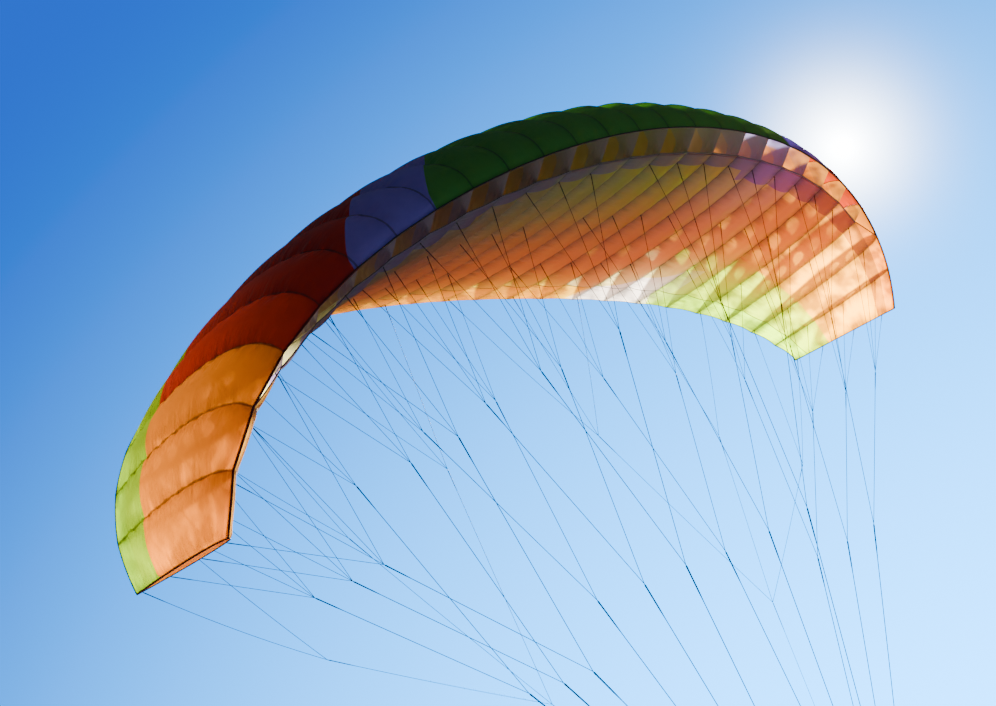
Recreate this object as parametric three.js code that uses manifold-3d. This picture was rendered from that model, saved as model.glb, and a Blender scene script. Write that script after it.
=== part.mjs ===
// A speed wing: a small, fast ram-air canopy with its ribs, suspension lines and risers.
// Lengths are in millimetres. X runs along the span, -Y is forward and +Z is up.
// The origin is the rider's place, midway between the two hook-in loops of the risers.

import * as THREE from "three";
import { mergeVertices } from "three/addons/utils/BufferGeometryUtils.js";
import Module from "manifold-3d";

const wasm = await Module();
wasm.setup();

// Planform, as if the wing lay flat
const SPAN = 7000;
const CELLS = 26;
const CENTRE_CHORD = 2054;
const NARROWING = 0.068; // how much narrower the tip cells are than the centre ones
const CHORD_LOSS = { square: 0.648, fourth: -0.046, eighth: 0.02 };
const SWEEP = { square: 604, fourth: 155 };

// Arch, seen from the front: the slope of the span line, in radians, at each part of the half span
const ARCH = { first: 0.47, third: -0.094, fifth: 1.109 };

// Pitch of a rib in radians. The odd terms are a turn: the left half pitches more than the right.
const PITCH = { centre: 0.023, square: 0.027, fourth: 0.108 };
const TURN = { first: 0.181, third: -0.029 };

// Where the wing flies above the rider
const NOSE = new THREE.Vector3(0, -567, 4959); // leading edge of the centre rib
const LEAN = -0.0497;

// Rib outline in parts of the chord
const UPPER_LIP = { x: -0.008, z: 0.015 };
const LOWER_LIP = { x: 0.057, z: -0.0277 };
const CROWN = { centre: 0.374, square: 0.007, fourth: -0.239, front: 0.434, back: 1.037 };
const BELLY = { size: 0.106, front: 0.45, back: 0.9 };
const UPPER_STEPS = [0, 0.004, 0.02, 0.06, 0.14, 0.26, 0.42, 0.6, 0.78, 0.91, 1];
const LOWER_NOSE_STEPS = [0, 0.5];
const LOWER_STEPS = [0.057, 0.17, 0.36, 0.58, 0.8, 1];
const SLOPE_STEP = 0.002; // the outline's slope is taken over this far to either side
const FIRST_OPEN_RIB = 3;
const LIP_OVERLAP = 0.0012; // a closed nose stops this far short of the upper lip
const OPEN_NOSE = 0.96; // how much of the nose's turn an intake leaves out

// A cell bulges between its ribs, less at the lips and not at the trailing edge
const BALLOON = { share: 0.108, atLip: 0.4, fullFrom: 0.08, ending: 6 };

// Cloth and seams
const CLOTH = 3;
const RIB_CLOTH = 2.5;
const SEAM_GAP = 0.4;
const RIB_INSET = 0.3; // a rib stops this far below its place under the upper cloth
const TIP_INSET = 0.5; // the end ribs stand lower still, because the arch is tight there

// Suspension
const TAB = { length: 9, depth: 10 };
const UPPER_LINE = 2.4;
const MIDDLE_LINE = 2.8;
const MAIN_LINE = 3.4;
const LINE_SIDES = 4;
const SPLICE = { thick: 2.6, below: 8, full: 20, above: 70 }; // where branches leave a line
const END_GAP = 0.35;
const UPPER_SHARE = 0.19; // how far down to the riser the upper lines reach
const MIDDLE_SHARE = 0.35; // how far down the rest the middle lines reach
const BRAKE_SHARE = 0.24;
const BRAKE_LINE = 2.4;
const BRAKE_TAB = 0.975; // part of the chord where the brake tabs are sewn

// Risers
const HOOK_X = 210;
const LINK_X = 240;
const STRAP_WIDTH = 20;
const STRAP_THICK = 2.5;
const STRAP_FOOT = 32.35;
const STRAP_TOP = 470;
const STRAP_PITCH = 3.2;
const LINK_PITCH = 45;
const LOOP = { width: 22, deep: 32, tall: 64, wall: 5, corner: 9 };
const LINK = { radius: 15, wire: 2.5, stretch: 1.25, wireSides: 6, bends: 12 };

// Brake pulley on the back of each rear riser; lengths from the back of the strap
const PULLEY_Z = 330;
const BRACKET = { wide: 18, tall: 26, plate: 3, reach: 30, cheek: 2.5 };
const SHEAVE = { radius: 10, groove: 7.5, grooveWidth: 2, width: 8, bore: 2.2, sides: 16, clear: 4 };
const PIN = { radius: 1.7, sides: 12 };
const LINE_RUN = 4; // how far past the bracket the brake line stays upright

// Brake toggle, a webbing handle on the brake line, and trim buckle, a sleeve around the rear riser
const TOGGLE = { wide: 84, tall: 120, wall: 5, corner: 26, strap: 22, top: 250 };
const BUCKLE = { z: 200, wide: 30, deep: 12, tall: 30, slack: { x: 1.8, y: 0.6 } };

const CLOTH_ORANGE = 0xd9551c;
const CLOTH_GREEN = 0x3f7d1e;
const CLOTH_VIOLET = 0x7478bd;
const CLOTH_PALE = 0xe6cfa4;
const CLOTH_LIME = 0xb4cf3a;
const LINE_BLUE = 0x2b3f63;
const WEBBING = 0x23262d;
const STEEL = 0xb9bdc2;

// The sail is sewn from panels that meet on a rib; rib 0 is the right tip and rib 26 the left
const PANELS = [
  // name, first rib, last rib, upper colour, lower colour
  ["right_tip", 0, 3, CLOTH_ORANGE, CLOTH_LIME],
  ["right_outer", 3, 5, CLOTH_ORANGE, CLOTH_PALE],
  ["right_shoulder", 5, 7, CLOTH_VIOLET, CLOTH_PALE],
  ["right_middle", 7, 9, CLOTH_GREEN, CLOTH_ORANGE],
  ["right_inner", 9, 11, CLOTH_GREEN, CLOTH_ORANGE],
  ["right_centre", 11, 13, CLOTH_GREEN, CLOTH_ORANGE],
  ["left_centre", 13, 15, CLOTH_GREEN, CLOTH_ORANGE],
  ["left_inner", 15, 17, CLOTH_GREEN, CLOTH_ORANGE],
  ["left_middle", 17, 19, CLOTH_GREEN, CLOTH_ORANGE],
  ["left_shoulder", 19, 21, CLOTH_VIOLET, CLOTH_PALE],
  ["left_outer", 21, 23, CLOTH_ORANGE, CLOTH_PALE],
  ["left_tip", 23, 26, CLOTH_ORANGE, CLOTH_LIME],
];

const ROWS = [
  // row, part of the chord where its tabs are sewn, place of its riser counted along Y
  ["a", 0.1, -1],
  ["b", 0.38, 0],
  ["c", 0.7, 1],
];

const MAINS = [
  // main line, the ribs that each of its upper groups holds, from the centre out to the tip
  ["inner", [[12, 11, 10], [9, 8, 7]]],
  ["outer", [[6, 5, 4], [3, 2, 1, 0]]],
];

const BRAKE_GROUPS = [[12, 10, 8], [6, 4], [2, 0]];

const SIDES = [
  // name, sign of X
  ["left", 1],
  ["right", -1],
];

const wing = new THREE.Group();

function material(color, roughness, metalness = 0) {
  return new THREE.MeshStandardMaterial({ color, roughness, metalness, side: THREE.DoubleSide });
}

function add(name, geometry, finish) {
  const mesh = new THREE.Mesh(geometry, finish);
  mesh.name = name;
  wing.add(mesh);
  return mesh;
}

function bare(geometry) {
  const copy = geometry.clone();
  copy.deleteAttribute("normal");
  copy.deleteAttribute("uv");
  return mergeVertices(copy, 1e-4);
}

function solid(geometry) {
  const merged = bare(geometry);
  const vertProperties = new Float32Array(merged.attributes.position.array);
  const triVerts = new Uint32Array(merged.index.array);
  return new wasm.Manifold(new wasm.Mesh({ numProp: 3, vertProperties, triVerts }));
}

function joined(geometries) {
  const whole = geometries.map(solid).reduce((sum, next) => sum.add(next));
  const { vertProperties, triVerts } = whole.getMesh();
  const geometry = new THREE.BufferGeometry();
  geometry.setAttribute("position", new THREE.BufferAttribute(vertProperties, 3));
  geometry.setIndex(new THREE.BufferAttribute(triVerts, 1));
  return geometry;
}

// Rib places

function integral(curve, end, steps = 60) {
  const step = end / steps;
  let sum = 0;
  for (let i = 0; i < steps; i++) sum += curve((i + 0.5) * step) * step;
  return sum;
}

function archSlope(s) {
  return ARCH.first * s + ARCH.third * s ** 3 + ARCH.fifth * s ** 5;
}

function ribShares() {
  const width = (i) => 1 - NARROWING * ((i + 0.5) / (CELLS / 2) - 1) ** 2;
  const widths = Array.from({ length: CELLS }, (_, i) => width(i));
  const whole = widths.reduce((a, b) => a + b);
  const shares = [-1];
  for (const width of widths) shares.push(shares.at(-1) + (2 * width) / whole);
  return shares;
}

function makeRib(s) {
  const half = SPAN / 2;
  const slope = archSlope(s);
  const out = new THREE.Vector3(Math.sin(slope), 0, Math.cos(slope));
  const aft = new THREE.Vector3(0, 1, 0);
  const pitch = PITCH.centre + PITCH.square * s ** 2 + PITCH.fourth * s ** 4
    + TURN.first * s + TURN.third * s ** 3;
  const rib = {
    chord: CENTRE_CHORD
      * (1 - CHORD_LOSS.square * s ** 2 - CHORD_LOSS.fourth * s ** 4 - CHORD_LOSS.eighth * s ** 8),
    crown: CROWN.centre + CROWN.square * s ** 2 + CROWN.fourth * s ** 4,
    nose: new THREE.Vector3(
      half * integral((t) => Math.cos(archSlope(t)), s),
      SWEEP.square * s ** 2 + SWEEP.fourth * s ** 4,
      -half * integral((t) => Math.sin(archSlope(t)), s),
    ),
    along: aft.clone().multiplyScalar(Math.cos(pitch)).addScaledVector(out, -Math.sin(pitch)),
    up: out.clone().multiplyScalar(Math.cos(pitch)).addScaledVector(aft, Math.sin(pitch)),
    across: new THREE.Vector3(Math.cos(slope), 0, -Math.sin(slope)),
  };
  const lean = new THREE.Vector3(1, 0, 0);
  for (const key of ["nose", "along", "up", "across"]) rib[key].applyAxisAngle(lean, LEAN);
  rib.nose.add(NOSE);
  return rib;
}

const RIBS = ribShares().map(makeRib);

function place(rib, x, z) {
  return rib.nose.clone().addScaledVector(rib.along, x * rib.chord).addScaledVector(rib.up, z * rib.chord);
}

// Rib outline

function upperOutline(w, rib) {
  return {
    x: UPPER_LIP.x + (1 - UPPER_LIP.x) * w,
    z: UPPER_LIP.z * (1 - w) + rib.crown * w ** CROWN.front * (1 - w) ** CROWN.back,
  };
}

function lowerOutline(x) {
  return { x, z: -BELLY.size * x ** BELLY.front * (1 - x) ** BELLY.back };
}

// The lower cloth of a closed nose turns up to meet the upper cloth; an open one stops at its lip
function noseOutline(t, open) {
  const turn = (Math.PI / 2) * (open ? OPEN_NOSE + (1 - OPEN_NOSE) * t : t);
  const start = UPPER_LIP.z - LIP_OVERLAP;
  return {
    x: LOWER_LIP.x - (LOWER_LIP.x - UPPER_LIP.x) * Math.cos(turn),
    z: start - (start - LOWER_LIP.z) * Math.sin(turn),
  };
}

function edge(rib, curve, steps, side) {
  return steps.map((step) => {
    const here = curve(step, rib);
    const before = curve(Math.max(step - SLOPE_STEP, 0), rib);
    const after = curve(Math.min(step + SLOPE_STEP, 1), rib);
    const dx = after.x - before.x;
    const dz = after.z - before.z;
    const length = Math.hypot(dx, dz) * side;
    const normal = rib.along.clone().multiplyScalar(-dz / length).addScaledVector(rib.up, dx / length);
    return { point: place(rib, here.x, here.z), normal, x: here.x };
  });
}

function upperEdge(rib) {
  return edge(rib, upperOutline, UPPER_STEPS, 1);
}

function lowerEdge(rib, open) {
  const nose = edge(rib, (t) => noseOutline(t, open), LOWER_NOSE_STEPS, -1);
  return nose.concat(edge(rib, lowerOutline, LOWER_STEPS, -1));
}

function bulge(x) {
  const { share, atLip, fullFrom, ending } = BALLOON;
  const aft = Math.max(x, 0);
  return share * (1 - aft ** ending) * Math.min(1, atLip + ((1 - atLip) * aft) / fullFrom);
}

function crest(one, two) {
  return one.map((a, i) => {
    const b = two[i];
    const width = a.point.distanceTo(b.point);
    const normal = a.normal.clone().add(b.normal).normalize();
    const point = a.point.clone().lerp(b.point, 0.5).addScaledVector(normal, bulge(a.x) * width);
    return { point, normal, x: a.x };
  });
}

function shifted(line, across, distance) {
  return line.map((p) => ({ ...p, point: p.point.clone().addScaledVector(across, distance) }));
}

function isOpen(k) {
  return k >= FIRST_OPEN_RIB && k <= CELLS - FIRST_OPEN_RIB;
}

// Lines of points from the first rib of a panel to its last, with a crest between each two ribs
function panelLines(first, last, edgeOf) {
  const lines = [];
  for (let k = first; k <= last; k++) {
    const gap = (k === first ? 1 : k === last ? -1 : 0) * (SEAM_GAP / 2);
    const line = edgeOf(k);
    if (k > first) lines.push(crest(edgeOf(k - 1), line));
    lines.push(shifted(line, RIBS[k].across, gap));
  }
  return lines;
}

// A closed sheet of cloth on a grid of points
function sheet(lines) {
  const rows = lines.length;
  const columns = lines[0].length;
  const positions = [];
  for (const offset of [SEAM_GAP / 2, SEAM_GAP / 2 + CLOTH]) {
    for (const line of lines) {
      for (const { point, normal } of line) {
        positions.push(...point.clone().addScaledVector(normal, offset));
      }
    }
  }
  const at = (layer, i, j) => (layer * rows + i) * columns + j;
  const end = columns - 1;
  const index = [];
  const quad = (a, b, c, d) => index.push(a, b, c, a, c, d);
  for (let i = 0; i + 1 < rows; i++) {
    for (let j = 0; j + 1 < columns; j++) {
      quad(at(1, i, j), at(1, i + 1, j), at(1, i + 1, j + 1), at(1, i, j + 1));
      quad(at(0, i, j), at(0, i, j + 1), at(0, i + 1, j + 1), at(0, i + 1, j));
    }
    quad(at(0, i, 0), at(0, i + 1, 0), at(1, i + 1, 0), at(1, i, 0));
    quad(at(0, i + 1, end), at(0, i, end), at(1, i, end), at(1, i + 1, end));
  }
  for (let j = 0; j + 1 < columns; j++) {
    quad(at(0, 0, j + 1), at(0, 0, j), at(1, 0, j), at(1, 0, j + 1));
    quad(at(0, rows - 1, j), at(0, rows - 1, j + 1), at(1, rows - 1, j + 1), at(1, rows - 1, j));
  }
  return facingOut(positions, index);
}

function facingOut(positions, index) {
  const point = (i) => new THREE.Vector3().fromArray(positions, 3 * i);
  const origin = point(0);
  let volume = 0;
  for (let i = 0; i < index.length; i += 3) {
    const [a, b, c] = [0, 1, 2].map((n) => point(index[i + n]).sub(origin));
    volume += a.dot(b.cross(c));
  }
  if (volume < 0) {
    for (let i = 0; i < index.length; i += 3) [index[i], index[i + 1]] = [index[i + 1], index[i]];
  }
  const geometry = new THREE.BufferGeometry();
  geometry.setAttribute("position", new THREE.Float32BufferAttribute(positions, 3));
  geometry.setIndex(index);
  return geometry;
}

// A rib plate stands between the two cloths, sunk into the lower one
function ribPlate(k, shift) {
  const rib = RIBS[k];
  const inPlane = (p, offset) => {
    const v = p.point.clone().addScaledVector(p.normal, offset).sub(rib.nose);
    return new THREE.Vector2(v.dot(rib.along), v.dot(rib.up));
  };
  const inset = RIB_INSET + (k === 0 || k === CELLS ? TIP_INSET : 0);
  const top = upperEdge(rib).map((p) => inPlane(p, -inset));
  const bottom = lowerEdge(rib, isOpen(k)).map((p) => inPlane(p, (SEAM_GAP + CLOTH) / 2));
  const outline = new THREE.Shape(top.concat(withTabs(bottom, k).reverse()));
  const plate = new THREE.ExtrudeGeometry(outline, { depth: RIB_CLOTH, bevelEnabled: false });
  plate.translate(0, 0, shift - RIB_CLOTH / 2);
  return plate.applyMatrix4(ribBasis(rib));
}

function ribBasis(rib) {
  return new THREE.Matrix4().makeBasis(rib.along, rib.up, rib.across).setPosition(rib.nose);
}

// Where a suspension tab leaves the lower cloth
function tabDepth(rib, x) {
  return lowerOutline(x).z * rib.chord - SEAM_GAP / 2 - CLOTH - TAB.depth;
}

function tabFoot(k, x, shift) {
  const rib = RIBS[k];
  return rib.nose.clone()
    .addScaledVector(rib.along, x * rib.chord)
    .addScaledVector(rib.up, tabDepth(rib, x))
    .addScaledVector(rib.across, shift);
}

// The foot of a rib drops through the lower cloth in a short tab for each of its lines
function withTabs(bottom, k) {
  const points = [bottom[0]];
  const rib = RIBS[k];
  const tabs = tabPlaces(k).map((x) => ({ at: x * rib.chord, low: tabDepth(rib, x) }));
  for (let i = 1; i < bottom.length; i++) {
    const a = bottom[i - 1];
    const b = bottom[i];
    for (const { at, low } of tabs.filter((t) => t.at > a.x && t.at <= b.x)) {
      for (const [x, down] of [[at - TAB.length / 2, false], [at - TAB.length / 2, true],
        [at + TAB.length / 2, true], [at + TAB.length / 2, false]]) {
        const share = (x - a.x) / (b.x - a.x);
        points.push(new THREE.Vector2(x, down ? low : a.y + (b.y - a.y) * share));
      }
    }
    points.push(b);
  }
  return points;
}

function tabPlaces(k) {
  if (k === CELLS / 2) return [];
  const places = ROWS.map(([, x]) => x);
  if (hasBrake(k)) places.push(BRAKE_TAB);
  return places;
}

// A rib stands just inboard of its place, where the sail is already a little deeper than the rib.
// On a seam it belongs to the panel nearer the centre, and the centre rib to the left panel.
function ribShift(k) {
  return (k > CELLS / 2 ? -1 : 1) * (RIB_CLOTH / 2 + SEAM_GAP / 2);
}

function ownsRib(k, first, last) {
  if (k === first) return k <= CELLS / 2;
  if (k === last) return k > CELLS / 2;
  return true;
}

function hasBrake(k) {
  return BRAKE_GROUPS.flat().includes(Math.min(k, CELLS - k));
}

function lowerPanel(first, last) {
  const pieces = [sheet(panelLines(first, last, (k) => lowerEdge(RIBS[k], isOpen(k))))];
  for (let k = first; k <= last; k++) {
    if (!ownsRib(k, first, last)) continue;
    pieces.push(ribPlate(k, ribShift(k)));
  }
  return joined(pieces);
}

for (const [name, first, last, upperColour, lowerColour] of PANELS) {
  const upper = sheet(panelLines(first, last, (k) => upperEdge(RIBS[k])));
  add(`upper_sail_${name}`, upper, material(upperColour, 0.6));
  add(`lower_sail_${name}`, lowerPanel(first, last), material(lowerColour, 0.6));
}

// Suspension lines

function rod(a, b, diameter) {
  const line = b.clone().sub(a);
  const geometry = new THREE.CylinderGeometry(diameter / 2, diameter / 2, line.length(), LINE_SIDES);
  const turn = new THREE.Quaternion().setFromUnitVectors(new THREE.Vector3(0, 1, 0), line.normalize());
  return geometry.applyQuaternion(turn).translate(...a.clone().lerp(b, 0.5));
}

// Lines branch at a sewn splice, which swells a little and tapers off between the branches
function splice(knot, tops) {
  const { thick, below, full, above } = SPLICE;
  const profile = [[0, -below], [thick, 0], [thick, full], [0, above]];
  const spindle = new THREE.LatheGeometry(profile.map(([r, h]) => new THREE.Vector2(r, h)), LINE_SIDES);
  const line = mean(tops).sub(knot).normalize();
  const turn = new THREE.Quaternion().setFromUnitVectors(new THREE.Vector3(0, 1, 0), line);
  return spindle.applyQuaternion(turn).translate(...knot);
}

function mean(points) {
  return points.reduce((sum, p) => sum.add(p), new THREE.Vector3()).divideScalar(points.length);
}

// The top end of an upper line stays just clear of its tab, whichever way the line leans
function lineTop(foot, up, target) {
  const line = target.clone().sub(foot).normalize();
  const lean = -line.dot(up);
  const clear = (END_GAP + (UPPER_LINE / 2) * Math.sqrt(1 - lean ** 2)) / lean;
  return foot.clone().addScaledVector(line, clear);
}

function group(ribs, x, sign, below, share) {
  const feet = ribs.map((k) => {
    const number = sign < 0 ? k : CELLS - k;
    return { foot: tabFoot(number, x, ribShift(number)), up: RIBS[number].up };
  });
  const knot = mean(feet.map((f) => f.foot)).lerp(below, share);
  const rods = feet.map(({ foot, up }) => rod(lineTop(foot, up, knot), knot, UPPER_LINE));
  rods.push(splice(knot, feet.map((f) => f.foot)));
  return { knot, rods };
}

const LINK_FOOT = STRAP_TOP + END_GAP;
const LINK_MIDDLE = LINK_FOOT + LINK.stretch * (LINK.radius + LINK.wire);
const LINK_TOP = LINK_MIDDLE + LINK.stretch * (LINK.radius + LINK.wire);

for (const [side, sign] of SIDES) {
  for (const [row, x, slot] of ROWS) {
    for (const [i, [main, groups]] of MAINS.entries()) {
      const endX = sign * (LINK_X + (2 * i - 1) * MAIN_LINE);
      const end = new THREE.Vector3(endX, slot * LINK_PITCH, LINK_TOP + END_GAP + MAIN_LINE / 2);
      const uppers = groups.map((ribs) => group(ribs, x, sign, end, UPPER_SHARE));
      const knot = mean(uppers.map((u) => u.knot)).lerp(end, MIDDLE_SHARE);
      const rods = uppers.flatMap((u) => u.rods);
      for (const u of uppers) rods.push(rod(u.knot, knot, MIDDLE_LINE));
      rods.push(splice(knot, uppers.map((u) => u.knot)), rod(knot, end, MAIN_LINE));
      add(`${row}_lines_${main}_${side}`, joined(rods), material(LINE_BLUE, 0.7));
    }
  }
}

// Risers

function strapY(slot, z) {
  const rise = (z - STRAP_FOOT) / (STRAP_TOP - STRAP_FOOT);
  return slot * (STRAP_PITCH + (LINK_PITCH - STRAP_PITCH) * rise);
}

function strapX(z) {
  return HOOK_X + ((LINK_X - HOOK_X) * (z - STRAP_FOOT)) / (STRAP_TOP - STRAP_FOOT);
}

function roundedRing(wide, tall, corner, wall) {
  const outline = (w, h, r) => {
    const shape = new THREE.Shape();
    shape.moveTo(-w / 2 + r, -h / 2);
    shape.lineTo(w / 2 - r, -h / 2);
    shape.absarc(w / 2 - r, -h / 2 + r, r, -Math.PI / 2, 0);
    shape.absarc(w / 2 - r, h / 2 - r, r, 0, Math.PI / 2);
    shape.absarc(-w / 2 + r, h / 2 - r, r, Math.PI / 2, Math.PI);
    shape.absarc(-w / 2 + r, -h / 2 + r, r, Math.PI, 1.5 * Math.PI);
    return shape;
  };
  const shape = outline(wide, tall, corner);
  shape.holes.push(outline(wide - 2 * wall, tall - 2 * wall, corner - wall));
  return shape;
}

function loopGeometry() {
  const shape = roundedRing(LOOP.deep, LOOP.tall, LOOP.corner, LOOP.wall);
  const band = { depth: LOOP.width, bevelEnabled: false, curveSegments: 3 };
  const ring = new THREE.ExtrudeGeometry(shape, band);
  ring.translate(0, 0, -LOOP.width / 2);
  return ring.rotateX(Math.PI / 2).rotateZ(Math.PI / 2);
}

// A strap is a flat band from the hook-in loop up to its link
function strap(slot, sign) {
  const corners = [];
  for (const z of [STRAP_FOOT, STRAP_TOP]) {
    for (const dy of [-0.5, 0.5]) {
      for (const dx of [-0.5, 0.5]) {
        corners.push(sign * strapX(z) + dx * STRAP_WIDTH, strapY(slot, z) + dy * STRAP_THICK, z);
      }
    }
  }
  const faces = [[0, 2, 3, 1], [4, 5, 7, 6], [0, 1, 5, 4], [2, 6, 7, 3], [0, 4, 6, 2], [1, 3, 7, 5]];
  const index = faces.flatMap(([a, b, c, d]) => [a, b, c, a, c, d]);
  return facingOut(corners, index);
}

function linkGeometry() {
  const ring = new THREE.TorusGeometry(LINK.radius, LINK.wire, LINK.wireSides, LINK.bends);
  return ring.rotateX(Math.PI / 2).scale(1, 1, LINK.stretch);
}

const STRAP_SLOPE = Math.atan2(LINK_PITCH - STRAP_PITCH, STRAP_TOP - STRAP_FOOT);
const SHEAVE_Y = BRACKET.plate + SHEAVE.radius + SHEAVE.clear;

// Boxes and pin of the bracket, in a frame whose origin is on the strap's back face
function bracketGeometry() {
  const plate = new THREE.BoxGeometry(BRACKET.wide, BRACKET.plate, BRACKET.tall);
  plate.translate(0, BRACKET.plate / 2, 0);
  const pieces = [plate];
  for (const sign of [-1, 1]) {
    const cheek = new THREE.BoxGeometry(BRACKET.cheek, BRACKET.reach, BRACKET.tall);
    cheek.translate((sign * (BRACKET.wide - BRACKET.cheek)) / 2, BRACKET.reach / 2, 0);
    pieces.push(cheek);
  }
  const pin = new THREE.CylinderGeometry(PIN.radius, PIN.radius, BRACKET.wide - BRACKET.cheek, PIN.sides);
  pieces.push(pin.rotateZ(Math.PI / 2).translate(0, SHEAVE_Y, 0));
  return joined(pieces);
}

function sheaveGeometry() {
  const { radius, groove, grooveWidth, width, bore, sides } = SHEAVE;
  const profile = [
    [bore, -width / 2], [radius, -width / 2], [groove, -grooveWidth / 2], [groove, grooveWidth / 2],
    [radius, width / 2], [bore, width / 2], [bore, -width / 2],
  ].map(([r, h]) => new THREE.Vector2(r, h));
  return new THREE.LatheGeometry(profile, sides).rotateZ(Math.PI / 2);
}

function toggleGeometry() {
  const shape = roundedRing(TOGGLE.wide, TOGGLE.tall, TOGGLE.corner, TOGGLE.wall);
  const band = { depth: TOGGLE.strap, bevelEnabled: false, curveSegments: 4 };
  const ring = new THREE.ExtrudeGeometry(shape, band);
  return ring.translate(0, 0, -TOGGLE.strap / 2).rotateX(Math.PI / 2);
}

function buckleGeometry() {
  const { wide, deep, tall } = BUCKLE;
  const shape = new THREE.Shape();
  shape.moveTo(-wide / 2, -deep / 2);
  shape.lineTo(wide / 2, -deep / 2);
  shape.lineTo(wide / 2, deep / 2);
  shape.lineTo(-wide / 2, deep / 2);
  const hole = new THREE.Path();
  const halfX = STRAP_WIDTH / 2 + BUCKLE.slack.x;
  const halfY = STRAP_THICK / 2 + BUCKLE.slack.y;
  hole.moveTo(-halfX, -halfY);
  hole.lineTo(halfX, -halfY);
  hole.lineTo(halfX, halfY);
  hole.lineTo(-halfX, halfY);
  shape.holes.push(hole);
  const sleeve = new THREE.ExtrudeGeometry(shape, { depth: tall, bevelEnabled: false });
  return sleeve.translate(0, 0, -tall / 2);
}

for (const [side, sign] of SIDES) {
  add(`hook_loop_${side}`, loopGeometry(), material(WEBBING, 0.8)).position.set(sign * HOOK_X, 0, 0);
  for (const [row, , slot] of ROWS) {
    add(`${row}_riser_${side}`, strap(slot, sign), material(WEBBING, 0.8));
    const link = add(`${row}_link_${side}`, linkGeometry(), material(STEEL, 0.3, 1));
    link.position.set(sign * LINK_X, slot * LINK_PITCH, LINK_MIDDLE);
  }

  // The pulley leans with the strap that carries it
  const pulley = new THREE.Group();
  const back = STRAP_THICK / 2 / Math.cos(STRAP_SLOPE) + END_GAP;
  pulley.position.set(sign * strapX(PULLEY_Z), strapY(1, PULLEY_Z) + back, PULLEY_Z);
  pulley.rotation.x = -STRAP_SLOPE;
  const bracket = new THREE.Mesh(bracketGeometry(), material(STEEL, 0.35, 1));
  bracket.name = `brake_pulley_${side}`;
  const sheave = new THREE.Mesh(sheaveGeometry(), material(WEBBING, 0.4));
  sheave.name = `brake_sheave_${side}`;
  sheave.position.y = SHEAVE_Y;
  pulley.add(bracket, sheave);
  wing.add(pulley);
  pulley.updateMatrixWorld(true);

  // The brake line runs down past the sheave to the toggle
  const beside = SHEAVE_Y + SHEAVE.groove + BRAKE_LINE / 2 + END_GAP;
  const reach = BRACKET.tall / 2 + LINE_RUN;
  const [entry, exit] = [reach, -reach].map((z) => pulley.localToWorld(new THREE.Vector3(0, beside, z)));
  const toggleTop = new THREE.Vector3(exit.x, exit.y, TOGGLE.top);
  const groups = BRAKE_GROUPS.map((ribs) => group(ribs, BRAKE_TAB, sign, entry, BRAKE_SHARE));
  const knot = mean(groups.map((g) => g.knot)).lerp(entry, MIDDLE_SHARE);
  const rods = groups.flatMap((g) => [...g.rods, rod(g.knot, knot, UPPER_LINE)]);
  rods.push(splice(knot, groups.map((g) => g.knot)));
  const run = [knot, entry, exit, toggleTop];
  for (let i = 0; i + 1 < run.length; i++) rods.push(rod(run[i], run[i + 1], BRAKE_LINE));
  add(`brake_lines_${side}`, joined(rods), material(LINE_BLUE, 0.7));

  const toggle = add(`brake_toggle_${side}`, toggleGeometry(), material(WEBBING, 0.8));
  toggle.position.set(exit.x, exit.y, TOGGLE.top - END_GAP - TOGGLE.tall / 2);

  const buckle = add(`trim_buckle_${side}`, buckleGeometry(), material(STEEL, 0.35, 1));
  buckle.position.set(sign * strapX(BUCKLE.z), strapY(1, BUCKLE.z), BUCKLE.z);
  buckle.rotation.x = -STRAP_SLOPE;
}

export default wing;
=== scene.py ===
import math

import bmesh
import bpy
import numpy as np
from mathutils import Matrix, Vector


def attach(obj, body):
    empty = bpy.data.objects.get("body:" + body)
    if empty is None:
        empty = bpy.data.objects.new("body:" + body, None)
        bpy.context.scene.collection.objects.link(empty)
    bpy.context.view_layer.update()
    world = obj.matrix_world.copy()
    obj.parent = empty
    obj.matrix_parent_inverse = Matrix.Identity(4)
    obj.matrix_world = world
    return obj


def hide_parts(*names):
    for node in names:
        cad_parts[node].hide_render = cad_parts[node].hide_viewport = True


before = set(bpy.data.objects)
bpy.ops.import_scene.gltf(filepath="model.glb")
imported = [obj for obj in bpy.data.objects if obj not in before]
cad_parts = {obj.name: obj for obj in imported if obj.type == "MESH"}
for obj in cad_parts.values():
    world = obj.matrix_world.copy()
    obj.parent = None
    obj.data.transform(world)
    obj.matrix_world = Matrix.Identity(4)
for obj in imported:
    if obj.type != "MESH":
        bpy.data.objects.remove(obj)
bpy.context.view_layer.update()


# CAMERA
# It stands off the right tip and ahead of the wing, lower than the middle of the sail, and looks up at it.
# The long lens and the tilt come from fitting the ribs' noses and the trailing edge to the photograph.

CAMERA_PLACE = (-7.60648, -5.72366, 3.21002)
CAMERA_RIGHT = (0.640481, -0.665725, -0.382876)
CAMERA_UP = (0.181446, -0.353262, 0.917760)
CAMERA_BACK = (-0.746231, -0.657279, -0.105465)


def add_object(name, data):
    made = bpy.data.objects.new(name, data)
    bpy.context.scene.collection.objects.link(made)
    return made


camera_lens = bpy.data.cameras.new("camera")
camera_lens.lens = 61.889
camera_lens.sensor_width = 36
camera = add_object("camera", camera_lens)
camera_turn = Matrix((CAMERA_RIGHT, CAMERA_UP, CAMERA_BACK)).transposed().to_4x4()
camera.matrix_world = Matrix.Translation(CAMERA_PLACE) @ camera_turn
bpy.context.scene.camera = camera


# STUDIO
# A plain grey floor below the risers, a clear sky that pales towards the sun, and one strong warm light.
# The light stands low behind the wing's left tip, where the sun stands in the photograph.

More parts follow.
